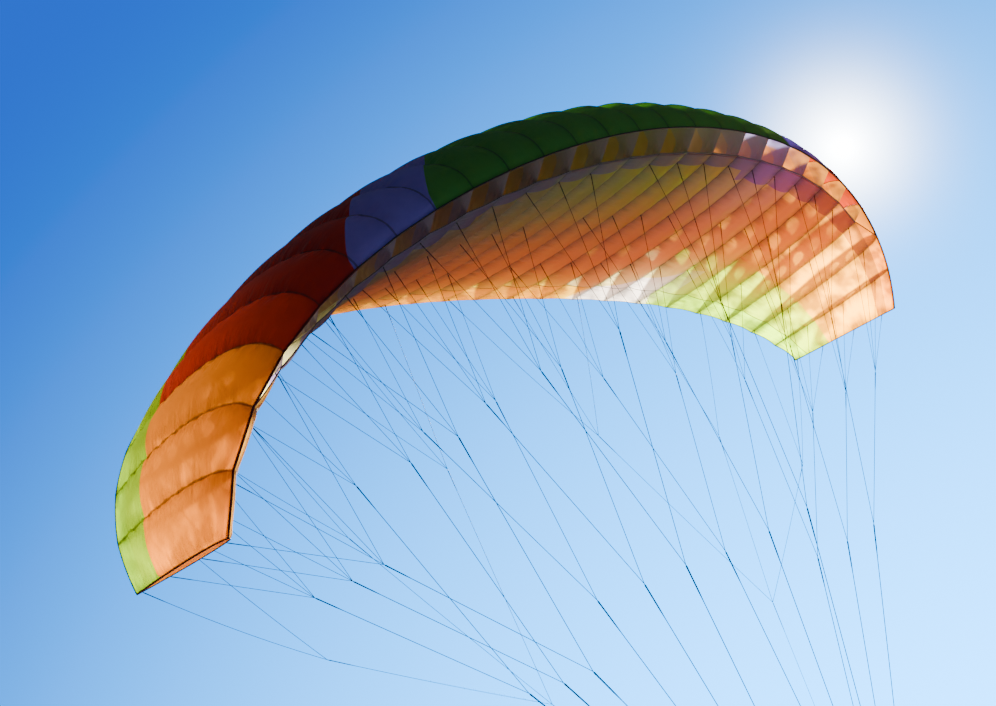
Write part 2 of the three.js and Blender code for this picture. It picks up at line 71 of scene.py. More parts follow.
FLOOR_HALF, FLOOR_LEVEL = 6.0, -1.0
KEY_WAY = (0.87307, 0.46859, 0.13479)
SKY_LIGHT = (0.62, 0.80, 1.0, 1)
SKY_DEEP, SKY_PALE, SKY_GLARE = (0.003, 0.126, 0.92, 1), (0.004, 5.2, 14.6, 1), (16.0, 17.0, 18.0, 1)


# A shader socket that adds and multiplies like a number, by adding Math nodes
class Shade:
    def __init__(self, socket):
        self.socket = socket

    @staticmethod
    def node(tree, kind, settings=None, sockets=None, out=0):
        made = tree.nodes.new(kind)
        for name, value in (settings or {}).items():
            setattr(made, name, value)
        for name, value in (sockets or {}).items():
            if isinstance(value, Shade):
                tree.links.new(value.socket, made.inputs[name])
            else:
                made.inputs[name].default_value = value
        return Shade(made.outputs[out])

    def maths(self, operation, *others):
        sockets = dict(enumerate((self, *others)))
        return Shade.node(self.socket.id_data, "ShaderNodeMath", {"operation": operation}, sockets)

    def __add__(self, other):
        return self.maths("ADD", other)

    __radd__ = __add__

    def __mul__(self, other):
        return self.maths("MULTIPLY", other)

    __rmul__ = __mul__

    def __sub__(self, other):
        return self.maths("SUBTRACT", other)

    def __rsub__(self, other):
        return (self * -1.0).maths("ADD", other)

    def __pow__(self, other):
        return self.maths("POWER", other)

    # 1 where the value is below start, 0 where it is above end, and a slope between. With start as the higher
    # of the two, it is 1 above start and 0 below end.
    def below(self, start, end):
        sockets = {0: self, 1: start, 2: end, 3: 1.0, 4: 0.0}
        return Shade.node(self.socket.id_data, "ShaderNodeMapRange", {"clamp": True}, sockets)


def colour_mix(tree, share, one, other):
    return Shade.node(tree, "ShaderNodeMix", {"data_type": "RGBA"}, {0: share, 6: one, 7: other}, out=2)


def shader_mix(tree, share, one, other):
    return Shade.node(tree, "ShaderNodeMixShader", {}, {0: share, 1: one, 2: other})


def new_material(name):
    material = bpy.data.materials.new(name)
    material.use_nodes = True
    material.node_tree.nodes.clear()
    return material


def show(material, shader):
    output = material.node_tree.nodes.new("ShaderNodeOutputMaterial")
    material.node_tree.links.new(shader.socket, output.inputs[0])


def noise(tree, where, scale, detail=2.0, roughness=0.5):
    sockets = {"Vector": where, "Scale": scale, "Detail": detail, "Roughness": roughness}
    return Shade.node(tree, "ShaderNodeTexNoise", {}, sockets)


def in_metres(tree):
    return Shade.node(tree, "ShaderNodeTexCoord", out=3)


floor_mesh = bpy.data.meshes.new("floor")
floor_corners = [
    (x * FLOOR_HALF, y * FLOOR_HALF, FLOOR_LEVEL) for x, y in ((-1, -1), (1, -1), (1, 1), (-1, 1))]
floor_mesh.from_pydata(floor_corners, [], [(0, 1, 2, 3)])
floor = add_object("floor", floor_mesh)
floor_paint = new_material("floor_paint")
floor_tree = floor_paint.node_tree
floor_grain = noise(floor_tree, in_metres(floor_tree), 3.0)
show(floor_paint, Shade.node(floor_tree, "ShaderNodeBsdfPrincipled", {}, {
    "Base Color": colour_mix(floor_tree, floor_grain, (0.215, 0.22, 0.225, 1), (0.245, 0.25, 0.255, 1)),
    "Roughness": 0.8,
}))
floor_mesh.materials.append(floor_paint)

# The sky as it is seen: deep blue far from the sun, paler near it and near the horizon, and a glare round it
world = bpy.data.worlds.new("studio")
world.use_nodes = True
world_tree = world.node_tree
world_tree.nodes.clear()
world_way = Shade.node(world_tree, "ShaderNodeTexCoord", out=0)
world_near_key = Shade.node(
    world_tree, "ShaderNodeVectorMath", {"operation": "DOT_PRODUCT"}, {0: world_way, 1: KEY_WAY}, out=1)
world_height = Shade.node(world_tree, "ShaderNodeSeparateXYZ", {}, {0: world_way}, out=2)
world_paler = (1 - (world_near_key * 1.8 - world_height * 1.3).below(1.065, 2.065)) ** 2.75
world_from_key = ((1 - world_near_key) * 2.0).maths("ABSOLUTE") ** 0.5
world_glare = (world_from_key * -62.0).maths("EXPONENT") * 1.4
world_sky = colour_mix(world_tree, world_paler, SKY_DEEP, SKY_PALE)
world_sky = colour_mix(world_tree, world_glare, world_sky, SKY_GLARE)
world_view = Shade.node(world_tree, "ShaderNodeBackground", {}, {"Color": world_sky, "Strength": 1.0})

# What the sky gives the wing is one faint blue light from all sides
world_light = Shade.node(world_tree, "ShaderNodeBackground", {}, {"Color": SKY_LIGHT, "Strength": 0.08})
world_seen = Shade.node(world_tree, "ShaderNodeLightPath", out=0)
world_out = world_tree.nodes.new("ShaderNodeOutputWorld")
world_tree.links.new(shader_mix(world_tree, world_seen, world_light, world_view).socket, world_out.inputs[0])
bpy.context.scene.world = world

key_light = bpy.data.lights.new("key_light", "SUN")
key_light.energy = 60.0
key_light.angle = math.radians(4)
key_light.color = (1.0, 0.95, 0.87)
key = add_object("key_light", key_light)
key.rotation_mode = "QUATERNION"
key.rotation_quaternion = Vector(KEY_WAY).to_track_quat("Z", "Y")


# UPPER SAIL
# Twelve panels of thin coated nylon, sewn to each other and to the ribs under them; air swells every cell.
# It is orange at the tips and red inboard of them, with a green front in the middle and violet shoulders.
# The rear is lime at the tips, then white, and peach along the middle of the trailing edge.

CELLS = 26
CENTRE_RIB = 13
HALF_SPAN = 3.5
CENTRE_CHORD = 2.054
WING_LEAN = -0.0497
CENTRE_NOSE = np.array([0.0, -0.567, 4.959])

# Every profile is given in shares of its chord, back from the nose and up from the chord line
UPPER_LIP_BACK, UPPER_LIP_UP = -0.008, 0.015
LOWER_LIP_BACK, LOWER_LIP_DOWN = 0.057, 0.0277
NOSE_DEEP, NOSE_UP = LOWER_LIP_BACK - UPPER_LIP_BACK, 0.0138
OPEN_NOSE = 0.96

# The cloth lies this far outside the surface of the CAD model's sails
CLOTH_LIFT = 0.0016
CELL_BULGE, BULGE_START, TIGHT_NOSE = 0.108, 0.15, 0.08
UPPER_PUCKER, PUCKER_REACH, PUCKER_WAVES = 0.0022, 0.055, (0.052, 0.083, 0.137)
SCALLOP_FROM = 0.86
SLACK_TIP_SCALLOP, RIGHT_SCALLOP, LEFT_SCALLOP = -0.011, 0.008, 0.013


# The arch, the sweep, the twist, the chords and the crowns are the CAD model's formulas, for a place from
# -1 at the right tip to 1 at the left tip
def arch_slope(s):
    return 0.47 * s - 0.094 * s ** 3 + 1.109 * s ** 5


def along_span(curve, end, steps=60):
    middles = (np.arange(steps) + 0.5) * end / steps
    return curve(middles).sum() * end / steps


# The line of the lower sail behind its lip
def belly(back):
    return -0.106 * back ** 0.45 * (1 - back) ** 0.9


cell_widths = 1 - 0.068 * ((np.arange(CELLS) + 0.5) / CENTRE_RIB - 1) ** 2
rib_shares = np.concatenate([[0], np.cumsum(cell_widths)]) / cell_widths.sum() * 2 - 1
leaned = np.array(Matrix.Rotation(WING_LEAN, 3, "X"))


# A rib's nose, chord and crown, and the ways along its chord, up from it and across the wing
class Rib:
    def __init__(self, s):
        slope = arch_slope(s)
        out = np.array([math.sin(slope), 0, math.cos(slope)])
        aft = np.array([0, 1.0, 0])
        pitch = 0.023 + 0.027 * s ** 2 + 0.108 * s ** 4 + 0.181 * s - 0.029 * s ** 3
        nose = np.array([
            HALF_SPAN * along_span(lambda t: np.cos(arch_slope(t)), s),
            0.604 * s ** 2 + 0.155 * s ** 4,
            -HALF_SPAN * along_span(lambda t: np.sin(arch_slope(t)), s),
        ])
        self.chord = CENTRE_CHORD * (1 - 0.648 * s ** 2 + 0.046 * s ** 4 - 0.02 * s ** 8)
        self.crown = 0.374 + 0.007 * s ** 2 - 0.239 * s ** 4
        self.nose = leaned @ nose + CENTRE_NOSE
        self.along = leaned @ (aft * math.cos(pitch) - out * math.sin(pitch))
        self.up = leaned @ (out * math.cos(pitch) + aft * math.sin(pitch))
        self.across = leaned @ np.array([math.cos(slope), 0, -math.sin(slope)])

    def place(self, x, z):
        return self.nose + np.outer(x, self.along) * self.chord + np.outer(z, self.up) * self.chord

    def upper(self, w):
        rise = self.crown * w ** 0.434 * (1 - w) ** 1.037
        return UPPER_LIP_BACK + (1 - UPPER_LIP_BACK) * w, UPPER_LIP_UP * (1 - w) + rise

    # Below 0 the lower cloth turns up to the upper lip; a rib with an intake keeps only the end of that turn
    def lower(self, x, has_intake):
        kept = 1 + np.minimum(x, 0)
        turn = math.pi / 2 * (OPEN_NOSE + (1 - OPEN_NOSE) * kept if has_intake else kept)
        nose_x = LOWER_LIP_BACK - NOSE_DEEP * np.cos(turn)
        nose_z = NOSE_UP - (NOSE_UP + LOWER_LIP_DOWN) * np.sin(turn)
        belly_x = LOWER_LIP_BACK + (1 - LOWER_LIP_BACK) * np.maximum(x, 0)
        return np.where(x < 0, nose_x, belly_x), np.where(x < 0, nose_z, belly(belly_x))


# Ribs and cells are counted from the right tip; cell k lies between ribs k and k + 1
RIBS = [Rib(s) for s in rib_shares]


def has_intake(k):
    return 3 <= k <= CELLS - 3


def unit(vectors):
    return vectors / np.linalg.norm(vectors, axis=-1, keepdims=True)


def arc_length(points):
    steps = np.linalg.norm(np.diff(points, axis=0), axis=1)
    return np.concatenate([[0], np.cumsum(steps)])


# A line of cloth along one rib: its points, which way it faces, and how far back each point is
def edge_line(rib, curve, stations, side, low):
    step = 0.002
    x, z = curve(stations)
    x0, z0 = curve(np.maximum(stations - step, low))
    x1, z1 = curve(np.minimum(stations + step, 1))
    length = np.hypot(x1 - x0, z1 - z0) * side
    normal = np.outer(-(z1 - z0) / length, rib.along) + np.outer((x1 - x0) / length, rib.up)
    return rib.place(x, z), normal, x


# How far a cell swells, as a share of its width: the cloth is tight at its lip and at the trailing edge
def bulge(x, lip_back):
    aft = np.maximum(x - lip_back, 0) / TIGHT_NOSE
    return CELL_BULGE * (1 - np.maximum(x, 0) ** 6) * np.minimum(1, BULGE_START + (1 - BULGE_START) * aft)


# Small puckers run out from a seam. The large factors give each seam a rhythm of its own.
def pucker(seam, length, beside):
    waves = np.zeros_like(length)
    for i, wave in enumerate(PUCKER_WAVES):
        phase = math.sin(seam * 12.9898 + i * 78.233) * 43.7585
        waves += np.sin(2 * math.pi * length / wave + phase) * (1 + 0.4 * i) / 2.4
    near = beside / PUCKER_REACH
    return waves * near * math.exp(1 - near)


# How far a cell's trailing edge stands back from the line between its seams; the slack right tip's stands out
def trailing_scallop(k, x):
    deepest = SLACK_TIP_SCALLOP if k < 4 else RIGHT_SCALLOP if k < 17 else LEFT_SCALLOP
    return deepest * np.clip((x - SCALLOP_FROM) / (1 - SCALLOP_FROM), 0, 1) ** 1.5


# Where the cloth is cut across one cell, closer together beside the seams, where it puckers
ACROSS_CELL = [0, 0.03, 0.075, 0.13, 0.2, 0.29, 0.39, 0.5, 0.61, 0.71, 0.8, 0.87, 0.925, 0.97, 1]


# The cloth of the cells between two ribs, as rows of points from the nose to the trailing edge. With it come
# the place of each row along the span, and how far back on the chord its points are.
def cloth_rows(first, last, line_of, lip_back, pucker_size=0.0):
    rows, spans, backs = [], [], []
    for k in range(first, last):
        one, one_face, x = line_of(k)
        two, two_face, _ = line_of(k + 1)
        face = unit(one_face + two_face)
        width = np.linalg.norm(two - one, axis=1)
        length = arc_length((one + two) / 2)
        along = unit(RIBS[k].along + RIBS[k + 1].along)
        to_tip = 1 - min(k + 0.5, CELLS - k - 0.5) / CENTRE_RIB
        size = pucker_size * (0.6 + 2.4 * to_tip ** 2) * np.minimum(1, (1 - x) * 12 + 0.15)
        for t in ACROSS_CELL[0 if k == first else 1:]:
            arch = 4 * t * (1 - t)
            wrinkle = (pucker(k, length, t) + pucker(k + 1, length, 1 - t)) * size
            out = face * (bulge(x, lip_back) * width * arch + wrinkle + CLOTH_LIFT)[:, None]
            rows.append(one + (two - one) * t + out - np.outer(arch * trailing_scallop(k, x), along))
            spans.append(k + t)
            backs.append(x)
    return np.array(rows), np.array(spans), np.array(backs)


# A mesh from a grid of points, with its place on the wing and its size in metres kept as two UV maps
def grid_mesh(name, rows, outward, spans, backs):
    count, wide = rows.shape[:2]
    number = np.arange(count * wide).reshape(count, wide)
    a, b, c, d = number[:-1, :-1], number[1:, :-1], number[1:, 1:], number[:-1, 1:]
    faces = np.stack([a, b, c, d], axis=-1).reshape(-1, 4)
    corner = rows.reshape(-1, 3)
    middle = len(faces) // 2
    p, q, r = corner[faces[middle, 0]], corner[faces[middle, 1]], corner[faces[middle, 2]]
    if np.dot(np.cross(q - p, r - p), outward) < 0:
        faces = faces[:, ::-1]
    mesh = bpy.data.meshes.new(name)
    mesh.from_pydata(corner.tolist(), [], faces.tolist())
    mesh.polygons.foreach_set("use_smooth", [True] * len(faces))
    loops = np.empty(len(mesh.loops), dtype=np.int32)
    mesh.loops.foreach_get("vertex_index", loops)
    across, along = arc_length(rows[:, wide // 2]), arc_length(rows[count // 2])
    metres = np.stack([np.repeat(across, wide), np.tile(along, count)], axis=1)
    on_wing = np.stack([np.repeat(spans, wide), backs.reshape(-1)], axis=1)
    for label, values in (("cloth", metres), ("wing", on_wing)):
        layer = mesh.uv_layers.new(name=label)
        layer.data.foreach_set("uv", values[loops].reshape(-1))
    return add_object(name, mesh)


def cloth_area(rows):
    a = np.cross(rows[1:, :-1] - rows[:-1, :-1], rows[:-1, 1:] - rows[:-1, :-1])
    b = np.cross(rows[:-1, 1:] - rows[1:, 1:], rows[1:, :-1] - rows[1:, 1:])
    return (np.linalg.norm(a, axis=-1).sum() + np.linalg.norm(b, axis=-1).sum()) / 2


# Works out the area of a sewn panel from its rows; nothing uses it
def declare_cloth(rows):
    area = cloth_area(rows)


RIPSTOP_PITCH, RIPSTOP_THREAD = 0.006, 0.0006
STITCH_PITCH = 0.008
SEAM_COLOUR = (0.012, 0.010, 0.014, 1)


# Light that slips between the threads is yellower than what comes through them
def between_threads(through):
    red, green, blue, _ = through
    return red + (1 - red) * 0.13, green + (1 - green) * 0.235, blue, 1


# The two coordinates of a UV map
def uv_places(tree, uv_map):
    place = Shade.node(tree, "ShaderNodeUVMap", {"uv_map": uv_map})
    return [Shade.node(tree, "ShaderNodeSeparateXYZ", {}, {0: place}, out=axis) for axis in (0, 1)]


# Ripstop nylon, thin enough that light glows through it in the cloth's own colour. Its seams over the ribs
# are folded and sewn twice, so they look dark against the light. Each zone has a mask, the cloth's own colour
# and the colour of the light that comes through it.
def cloth_material(name, zones, through_share, straight_share, seam_dark=0.0, painted_seam_shade=0.0, joins=(),
                   painted_dimming=None, ports=None):
    material = new_material(name)
    tree = material.node_tree
    metres = in_metres(tree)
    span, back = uv_places(tree, "wing")
    warp, weft = uv_places(tree, "cloth")

    # A heavier thread at every pitch of the ripstop, both ways
    rip = warp.maths("PINGPONG", RIPSTOP_PITCH / 2).below(0.0, RIPSTOP_THREAD)
    rip = rip.maths("MAXIMUM", weft.maths("PINGPONG", RIPSTOP_PITCH / 2).below(0.0, RIPSTOP_THREAD))
    crumple = noise(tree, metres, 11.0, 4.0, 0.62)
    mottle = noise(tree, metres, 6.5, 2.0).below(0.62, 0.40)
    fade = noise(tree, metres, 1.1, 3.0)

    # A seam pulls the cloth into short creases that run out across the cell from it
    beside = span.maths("PINGPONG", 0.5)
    across_seam = Shade.node(tree, "ShaderNodeCombineXYZ", {}, {0: span * 1.4, 1: back * 34.0})
    crease = noise(tree, across_seam, 1.0, 2.0).below(0.68, 0.32) * beside.below(0.02, 0.42)
    relief = Shade.node(tree, "ShaderNodeBump", {}, {
        "Strength": 0.5, "Distance": 0.010, "Height": crumple * 0.6 + crease * 1.6 + rip * 0.012})

    for mask_of, zone_colour, through in zones:
        zone_glow = Shade.node(tree, "ShaderNodeBsdfTranslucent", {}, {"Color": through, "Normal": relief})
        zone_beam = Shade.node(tree, "ShaderNodeBsdfTransparent", {}, {"Color": between_threads(through)})
        if mask_of is None:
            colour, glow, sunbeam = zone_colour, zone_glow, zone_beam
        else:
            mask = mask_of(span, back)
            colour = colour_mix(tree, mask, colour, zone_colour)
            glow = shader_mix(tree, mask, glow, zone_glow)
            sunbeam = shader_mix(tree, mask, sunbeam, zone_beam)

    worn = fade * 0.5 + crumple * 0.2
    colour = Shade.node(tree, "ShaderNodeHueSaturation", {}, {
        "Value": 0.72 + worn * 0.8, "Saturation": 1.12 - worn * 0.35, "Color": colour})
    dark = rip * 0.06
    if seam_dark:
        stitch = weft.maths("PINGPONG", STITCH_PITCH / 2).below(0.001, 0.002)
        stitch = stitch * beside.below(0.016, 0.018) * beside.below(0.014, 0.012)
        seam = beside.below(0.012, 0.029)
        for join in joins:
            seam = seam.maths("MAXIMUM", (back - join).maths("ABSOLUTE").below(0.002, 0.0032))
        dark = dark.maths("MAXIMUM", seam.maths("MAXIMUM", stitch * 0.5) * seam_dark)
        # Painted shade: a band beside every seam, darkest at the seam, stands in for the rib's shadow and the
        # curve of the cell
        dark = dark.maths("MAXIMUM", beside.below(0.0, 0.40) ** 1.4 * painted_seam_shade)
    cloth = Shade.node(tree, "ShaderNodeBsdfPrincipled", {}, {
        "Base Color": colour_mix(tree, dark * 0.75, colour, SEAM_COLOUR),
        "Roughness": 0.38 + worn * 0.25,
        "Specular IOR Level": 0.35,
        "Coat Weight": 0.08,
        "Coat Roughness": 0.3,
        "Normal": relief,
    })
    thin = (1 - dark * 0.85) * (0.84 + crease * 0.36)
    # Painted shade: where this mask is, less light comes through the cloth
    if painted_dimming:
        thin = thin * (1 - painted_dimming(span, back) * 0.34)
    cloth = shader_mix(tree, thin * through_share, cloth, glow)

    # Part of the light goes straight through the weave, so the next cloth shows this one's seams and colours.
    # Less of it is left for each cloth that it has been through before.
    from_lamp = Shade.node(tree, "ShaderNodeLightPath", out=1)
    clothes_before = Shade.node(tree, "ShaderNodeLightPath", out=12)
    straight = from_lamp * clothes_before.below(0.0, 1.3) * thin * (0.30 + mottle * 1.2) * straight_share
    cloth = shader_mix(tree, straight, cloth, sunbeam)
    if ports:
        opening = Shade.node(tree, "ShaderNodeBsdfTransparent", {}, {"Color": (1, 1, 1, 1)})
        cloth = shader_mix(tree, ports(span, back), cloth, opening)
    show(material, cloth)
    return material


# Each cloth's own colour and the colour of the light that comes through it
ORANGE = ((0.22, 0.014, 0.003, 1), (1, 0.285, 0.002, 1))
RED = ((0.22, 0.002, 0.020, 1), (0.60, 0.042, 0.005, 1))
PEACH = ((0.90, 0.36, 0.03, 1), (1.0, 0.62, 0.02, 1))
LIME = ((0.09, 0.22, 0.004, 1), (0.30, 0.53, 0.002, 1))
VIOLET = ((0.17, 0.18, 1.0, 1), (0.28, 0.18, 0.66, 1))
GREEN = ((0.010, 0.36, 0.075, 1), (0.12, 0.31, 0.018, 1))
BRIGHT_WHITE = ((0.50, 0.48, 0.50, 1), (1.0, 0.94, 0.88, 1))

# The upper sail changes colour at a seam near the trailing edge, and so does the painted light on the lower
# sail. Every join is this wide.
REAR_JOIN = 0.87
JOIN_WIDE = 0.0015


# How many cells a place is from the nearer tip
def from_tip(span):
    return CENTRE_RIB - (span - CENTRE_RIB).maths("ABSOLUTE")


def ahead_of(back, join):
    return back.below(join, join + JOIN_WIDE)


def behind(back, join):
    return back.below(join, join - JOIN_WIDE)


# Masks: 1 on the cloth they name. The front joins run inboard as they go back.
def violet_shoulder(span, back):
    return (from_tip(span) - back * 10.0).below(5.01, 4.99) * ahead_of(back, 0.260)


def red_inboard(span, back):
    outer = from_tip(span).below(3.02, 2.98) * (from_tip(span) - back * 10.0).below(5.0, 5.02)
    return outer.maths("MAXIMUM", from_tip(span).below(8.0, 6.5) * 0.95)


def peach_rear(span, back):
    return behind(back, REAR_JOIN) * from_tip(span).below(8.62, 8.6)


def green_centre(span, back):
    return (from_tip(span) - back * 9.5).below(7.11, 7.09) * ahead_of(back, 0.360)


def white_rear(span, back):
    widening = (from_tip(span) * 0.09 - back).below(-0.16, -0.158)
    return widening * from_tip(span).below(8.6, 8.62) * (5.6 - from_tip(span)).below(0.0, 0.02)


def lime_rear(span, back):
    return behind(back, 0.656) * from_tip(span).below(5.7, 5.72)


upper_cloth = cloth_material(
    "upper_cloth", [
        (None, *ORANGE), (red_inboard, *RED), (violet_shoulder, *VIOLET), (green_centre, *GREEN),
        (white_rear, *BRIGHT_WHITE), (lime_rear, *LIME), (peach_rear, *PEACH),
    ], through_share=0.32, straight_share=0.85, seam_dark=0.85, painted_seam_shade=0.14)

PANELS = [
    # name, first rib, last rib, slot of its upper cloth
    ("right_tip", 0, 3, "tip"),
    ("right_outer", 3, 5, "tip"),
    ("right_shoulder", 5, 7, "shoulder"),
    ("right_middle", 7, 9, "centre"),
    ("right_inner", 9, 11, "centre"),
    ("right_centre", 11, 13, "centre"),
    ("left_centre", 13, 15, "centre"),
    ("left_inner", 15, 17, "centre"),
    ("left_middle", 17, 19, "centre"),
    ("left_shoulder", 19, 21, "shoulder"),
    ("left_outer", 21, 23, "tip"),
    ("left_tip", 23, 26, "tip"),
]

# Closer together round the nose
upper_stations = np.concatenate([
    [0, 0.0012, 0.004, 0.009, 0.017, 0.028, 0.042, 0.058, 0.076], np.linspace(0.09, 1, 140)])


def upper_line(k):
    rib = RIBS[k]
    return edge_line(rib, rib.upper, upper_stations, 1, 0)


for panel, first, last, slot_name in PANELS:
    rows, spans, backs = cloth_rows(first, last, upper_line, UPPER_LIP_BACK, UPPER_PUCKER)
    name = f"upper_sail_{panel}"
    piece = grid_mesh(f"{name}_cloth", rows, RIBS[(first + last) // 2].up, spans, backs)
    piece.data.materials.append(upper_cloth)
    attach(piece, "wing")
    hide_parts(name)
    declare_cloth(rows)


# LOWER SAIL
# Cream cloth under every cell, from the lower lip of the intake to the trailing edge; its front has painted
# shade in lilac. Its rear is white, with painted light where the upper sail's lime and peach glow through.
# The closed tip cells have a nose that turns up to the upper lip, painted rosy for the light behind it.

LOWER_PUCKER = 0.0018
CREAM = ((0.11, 0.085, 0.055, 1), (1, 0.90, 0.36, 1))
SHADE_LILAC = ((0.08, 0.07, 0.20, 1), (0.52, 0.36, 0.62, 1))
WHITE = ((0.11, 0.095, 0.12, 1), (1.0, 0.94, 0.90, 1))
PALE_LIME_GLOW = ((0.16, 0.20, 0.05, 1), (0.92, 1.0, 0.50, 1))
PAINTED_ROSE_LIGHT = ((0.24, 0.06, 0.05, 1), (0.95, 0.60, 0.20, 1))


# Painted light: the lower sail's rear takes the peach and lime of the upper sail, where their light glows
# through it
def peach_glow_edge(span, back):
    return behind(back, REAR_JOIN) * from_tip(span).below(8.4, 8.1)


def lime_glow_edge(span, back):
    return behind(back, REAR_JOIN) * from_tip(span).below(5.8, 6.2)


# Painted light: the closed noses' pale cloth is painted rosy, the tint it takes when lit from behind
def closed_nose(span, back):
    return back.below(0.0575, 0.0585) * from_tip(span).below(2.99, 3.01)


# Painted shade: the front of the lower sail is lilac-grey, as its white cloth looks in the shade under the
# nose
def painted_shade_front(span, back):
    deep = ahead_of(back, 0.140) * from_tip(span).below(8.5, 8.52)
    return deep.maths("MAXIMUM", ahead_of(back, 0.100))


# Painted shade: the middle cells let less light through, so the middle of the lower sail is darker
def painted_shade_middle(span, back):
    return from_tip(span).below(9.5, 6.0)


lower_cloth = cloth_material(
    "lower_cloth", [
        (None, *CREAM), (painted_shade_front, *SHADE_LILAC), (white_rear, *WHITE), (peach_glow_edge, *PEACH),
        (lime_glow_edge, *PALE_LIME_GLOW), (closed_nose, *PAINTED_ROSE_LIGHT),
    ], through_share=0.78, straight_share=0.34, seam_dark=1.0, painted_seam_shade=0.80, joins=(REAR_JOIN,),
    painted_dimming=painted_shade_middle)

# Below 0 on the turned-up nose, and from 0 at the lower lip to 1 at the trailing edge
lower_stations = np.concatenate([np.linspace(-1, -0.02, 9), np.linspace(0, 1, 150)])


def lower_line(k):
    rib = RIBS[k]
    return edge_line(rib, lambda x: rib.lower(x, has_intake(k)), lower_stations, -1, -1)


for panel, first, last, _ in PANELS:
    rows, spans, backs = cloth_rows(first, last, lower_line, LOWER_LIP_BACK, LOWER_PUCKER)
    name = f"lower_sail_{panel}"
    piece = grid_mesh(f"{name}_cloth", rows, -RIBS[(first + last) // 2].up, spans, backs)
    piece.data.materials.append(lower_cloth)
    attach(piece, "wing")
    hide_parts(name)
    declare_cloth(rows)


# RIBS
# Pale cloth cut to the wing's profile, sewn upright between the two sails. A row of ports lets the air pass
# from cell to cell. Each rib stands just inboard of its seam, as in the CAD model.

PORT_FIRST, PORT_LAST, PORT_PITCH = 0.20, 0.68, 0.12
PORT_HALF_LONG, PORT_HALF_TALL = 0.034, 0.24
RIB_SHIFT = 0.00145
RIB_RIPPLE = 0.0015
RIB_PALE = ((0.22, 0.17, 0.16, 1), (0.90, 0.66, 0.50, 1))
RIB_SHADE_VIOLET = ((0.25, 0.23, 0.34, 1), (0.62, 0.52, 0.58, 1))


# Ports are round in the middle ribs, and as tall a share of every rib
def rib_ports(height, back):
    from_centre = (back - PORT_FIRST).maths("PINGPONG", PORT_PITCH / 2) * (1 / PORT_HALF_LONG)
    round_port = from_centre ** 2 + ((height - 0.5) * (1 / PORT_HALF_TALL)) ** 2
    in_row = back.below(PORT_LAST + PORT_HALF_LONG, PORT_LAST + PORT_HALF_LONG + 0.001)
    behind_first = back.below(PORT_FIRST - PORT_HALF_LONG, PORT_FIRST - PORT_HALF_LONG - 0.001)
    return round_port.below(1.0, 1.05) * in_row * behind_first


# Painted shade: the front of each rib, seen through the intakes, is violet-grey, as its pale cloth looks in
# the shade there
def rib_nose_shade(height, back):
    return back.below(0.076, 0.078)


rib_cloth = cloth_material(
    "rib_cloth", [(None, *RIB_PALE), (rib_nose_shade, *RIB_SHADE_VIOLET)],
    through_share=0.4, straight_share=0.08, ports=rib_ports)
tip_cloth = cloth_material("tip_cloth", [(None, *ORANGE)], through_share=0.35, straight_share=0.3)


def rib_shift(k):
    return -RIB_SHIFT if k > CENTRE_RIB else RIB_SHIFT


rib_stations = np.linspace(0, 1, 90) ** 1.5
rib_heights = np.linspace(0, 1, 13)

for k, rib in enumerate(RIBS):
    # The lower edge has its stations under those of the upper edge, but none ahead of its own lip
    top_x, top_z = rib.upper(rib_stations)
    lip_x = rib.lower(-1.0, has_intake(k))[0]
    low_x = np.maximum(top_x, lip_x)
    on_belly = (low_x - LOWER_LIP_BACK) / (1 - LOWER_LIP_BACK)
    on_nose = -1 + (low_x - lip_x) / (LOWER_LIP_BACK - lip_x)
    edge_x, low_z = rib.lower(np.where(on_belly < 0, on_nose, on_belly), has_intake(k))
    low_x = np.where(on_belly < 0, edge_x, low_x)
    all_x = np.array([low_x + (top_x - low_x) * h for h in rib_heights])
    all_z = np.array([low_z + (top_z - low_z) * h for h in rib_heights])
    rows = np.array([rib.place(x, z) for x, z in zip(all_x, all_z)])
    ripple = np.sin(np.linspace(0, 40, len(rib_stations)) + k) * np.sin(math.pi * rib_heights)[:, None]
    rows = rows + (rib_shift(k) + RIB_RIPPLE * ripple)[..., None] * rib.across
    up_from_lip = np.clip((all_z + LOWER_LIP_DOWN) / (UPPER_LIP_UP + LOWER_LIP_DOWN), 0, 1)
    behind_lips = all_x - LOWER_LIP_BACK + NOSE_DEEP * up_from_lip
    piece = grid_mesh(f"rib_{k:02d}", rows, rib.across, rib_heights, behind_lips)
    piece.data.materials.append(tip_cloth if k in (0, CELLS) else rib_cloth)
    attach(piece, "wing")
    declare_cloth(rows)


# BINDINGS
# A dark tape is folded over the cloth along the trailing edge, round the tips and at the lips of the intakes,
# and sewn through. It is red on the upper sail's tips, and lilac along the lower lips.

BINDING_FLAT = 0.7
BINDING_SIDE = (0, 1, 0.3)
BINDING_WEAVE = 0.0012
RED_LIP_CELLS, CLOSED_CELLS = 5, 2


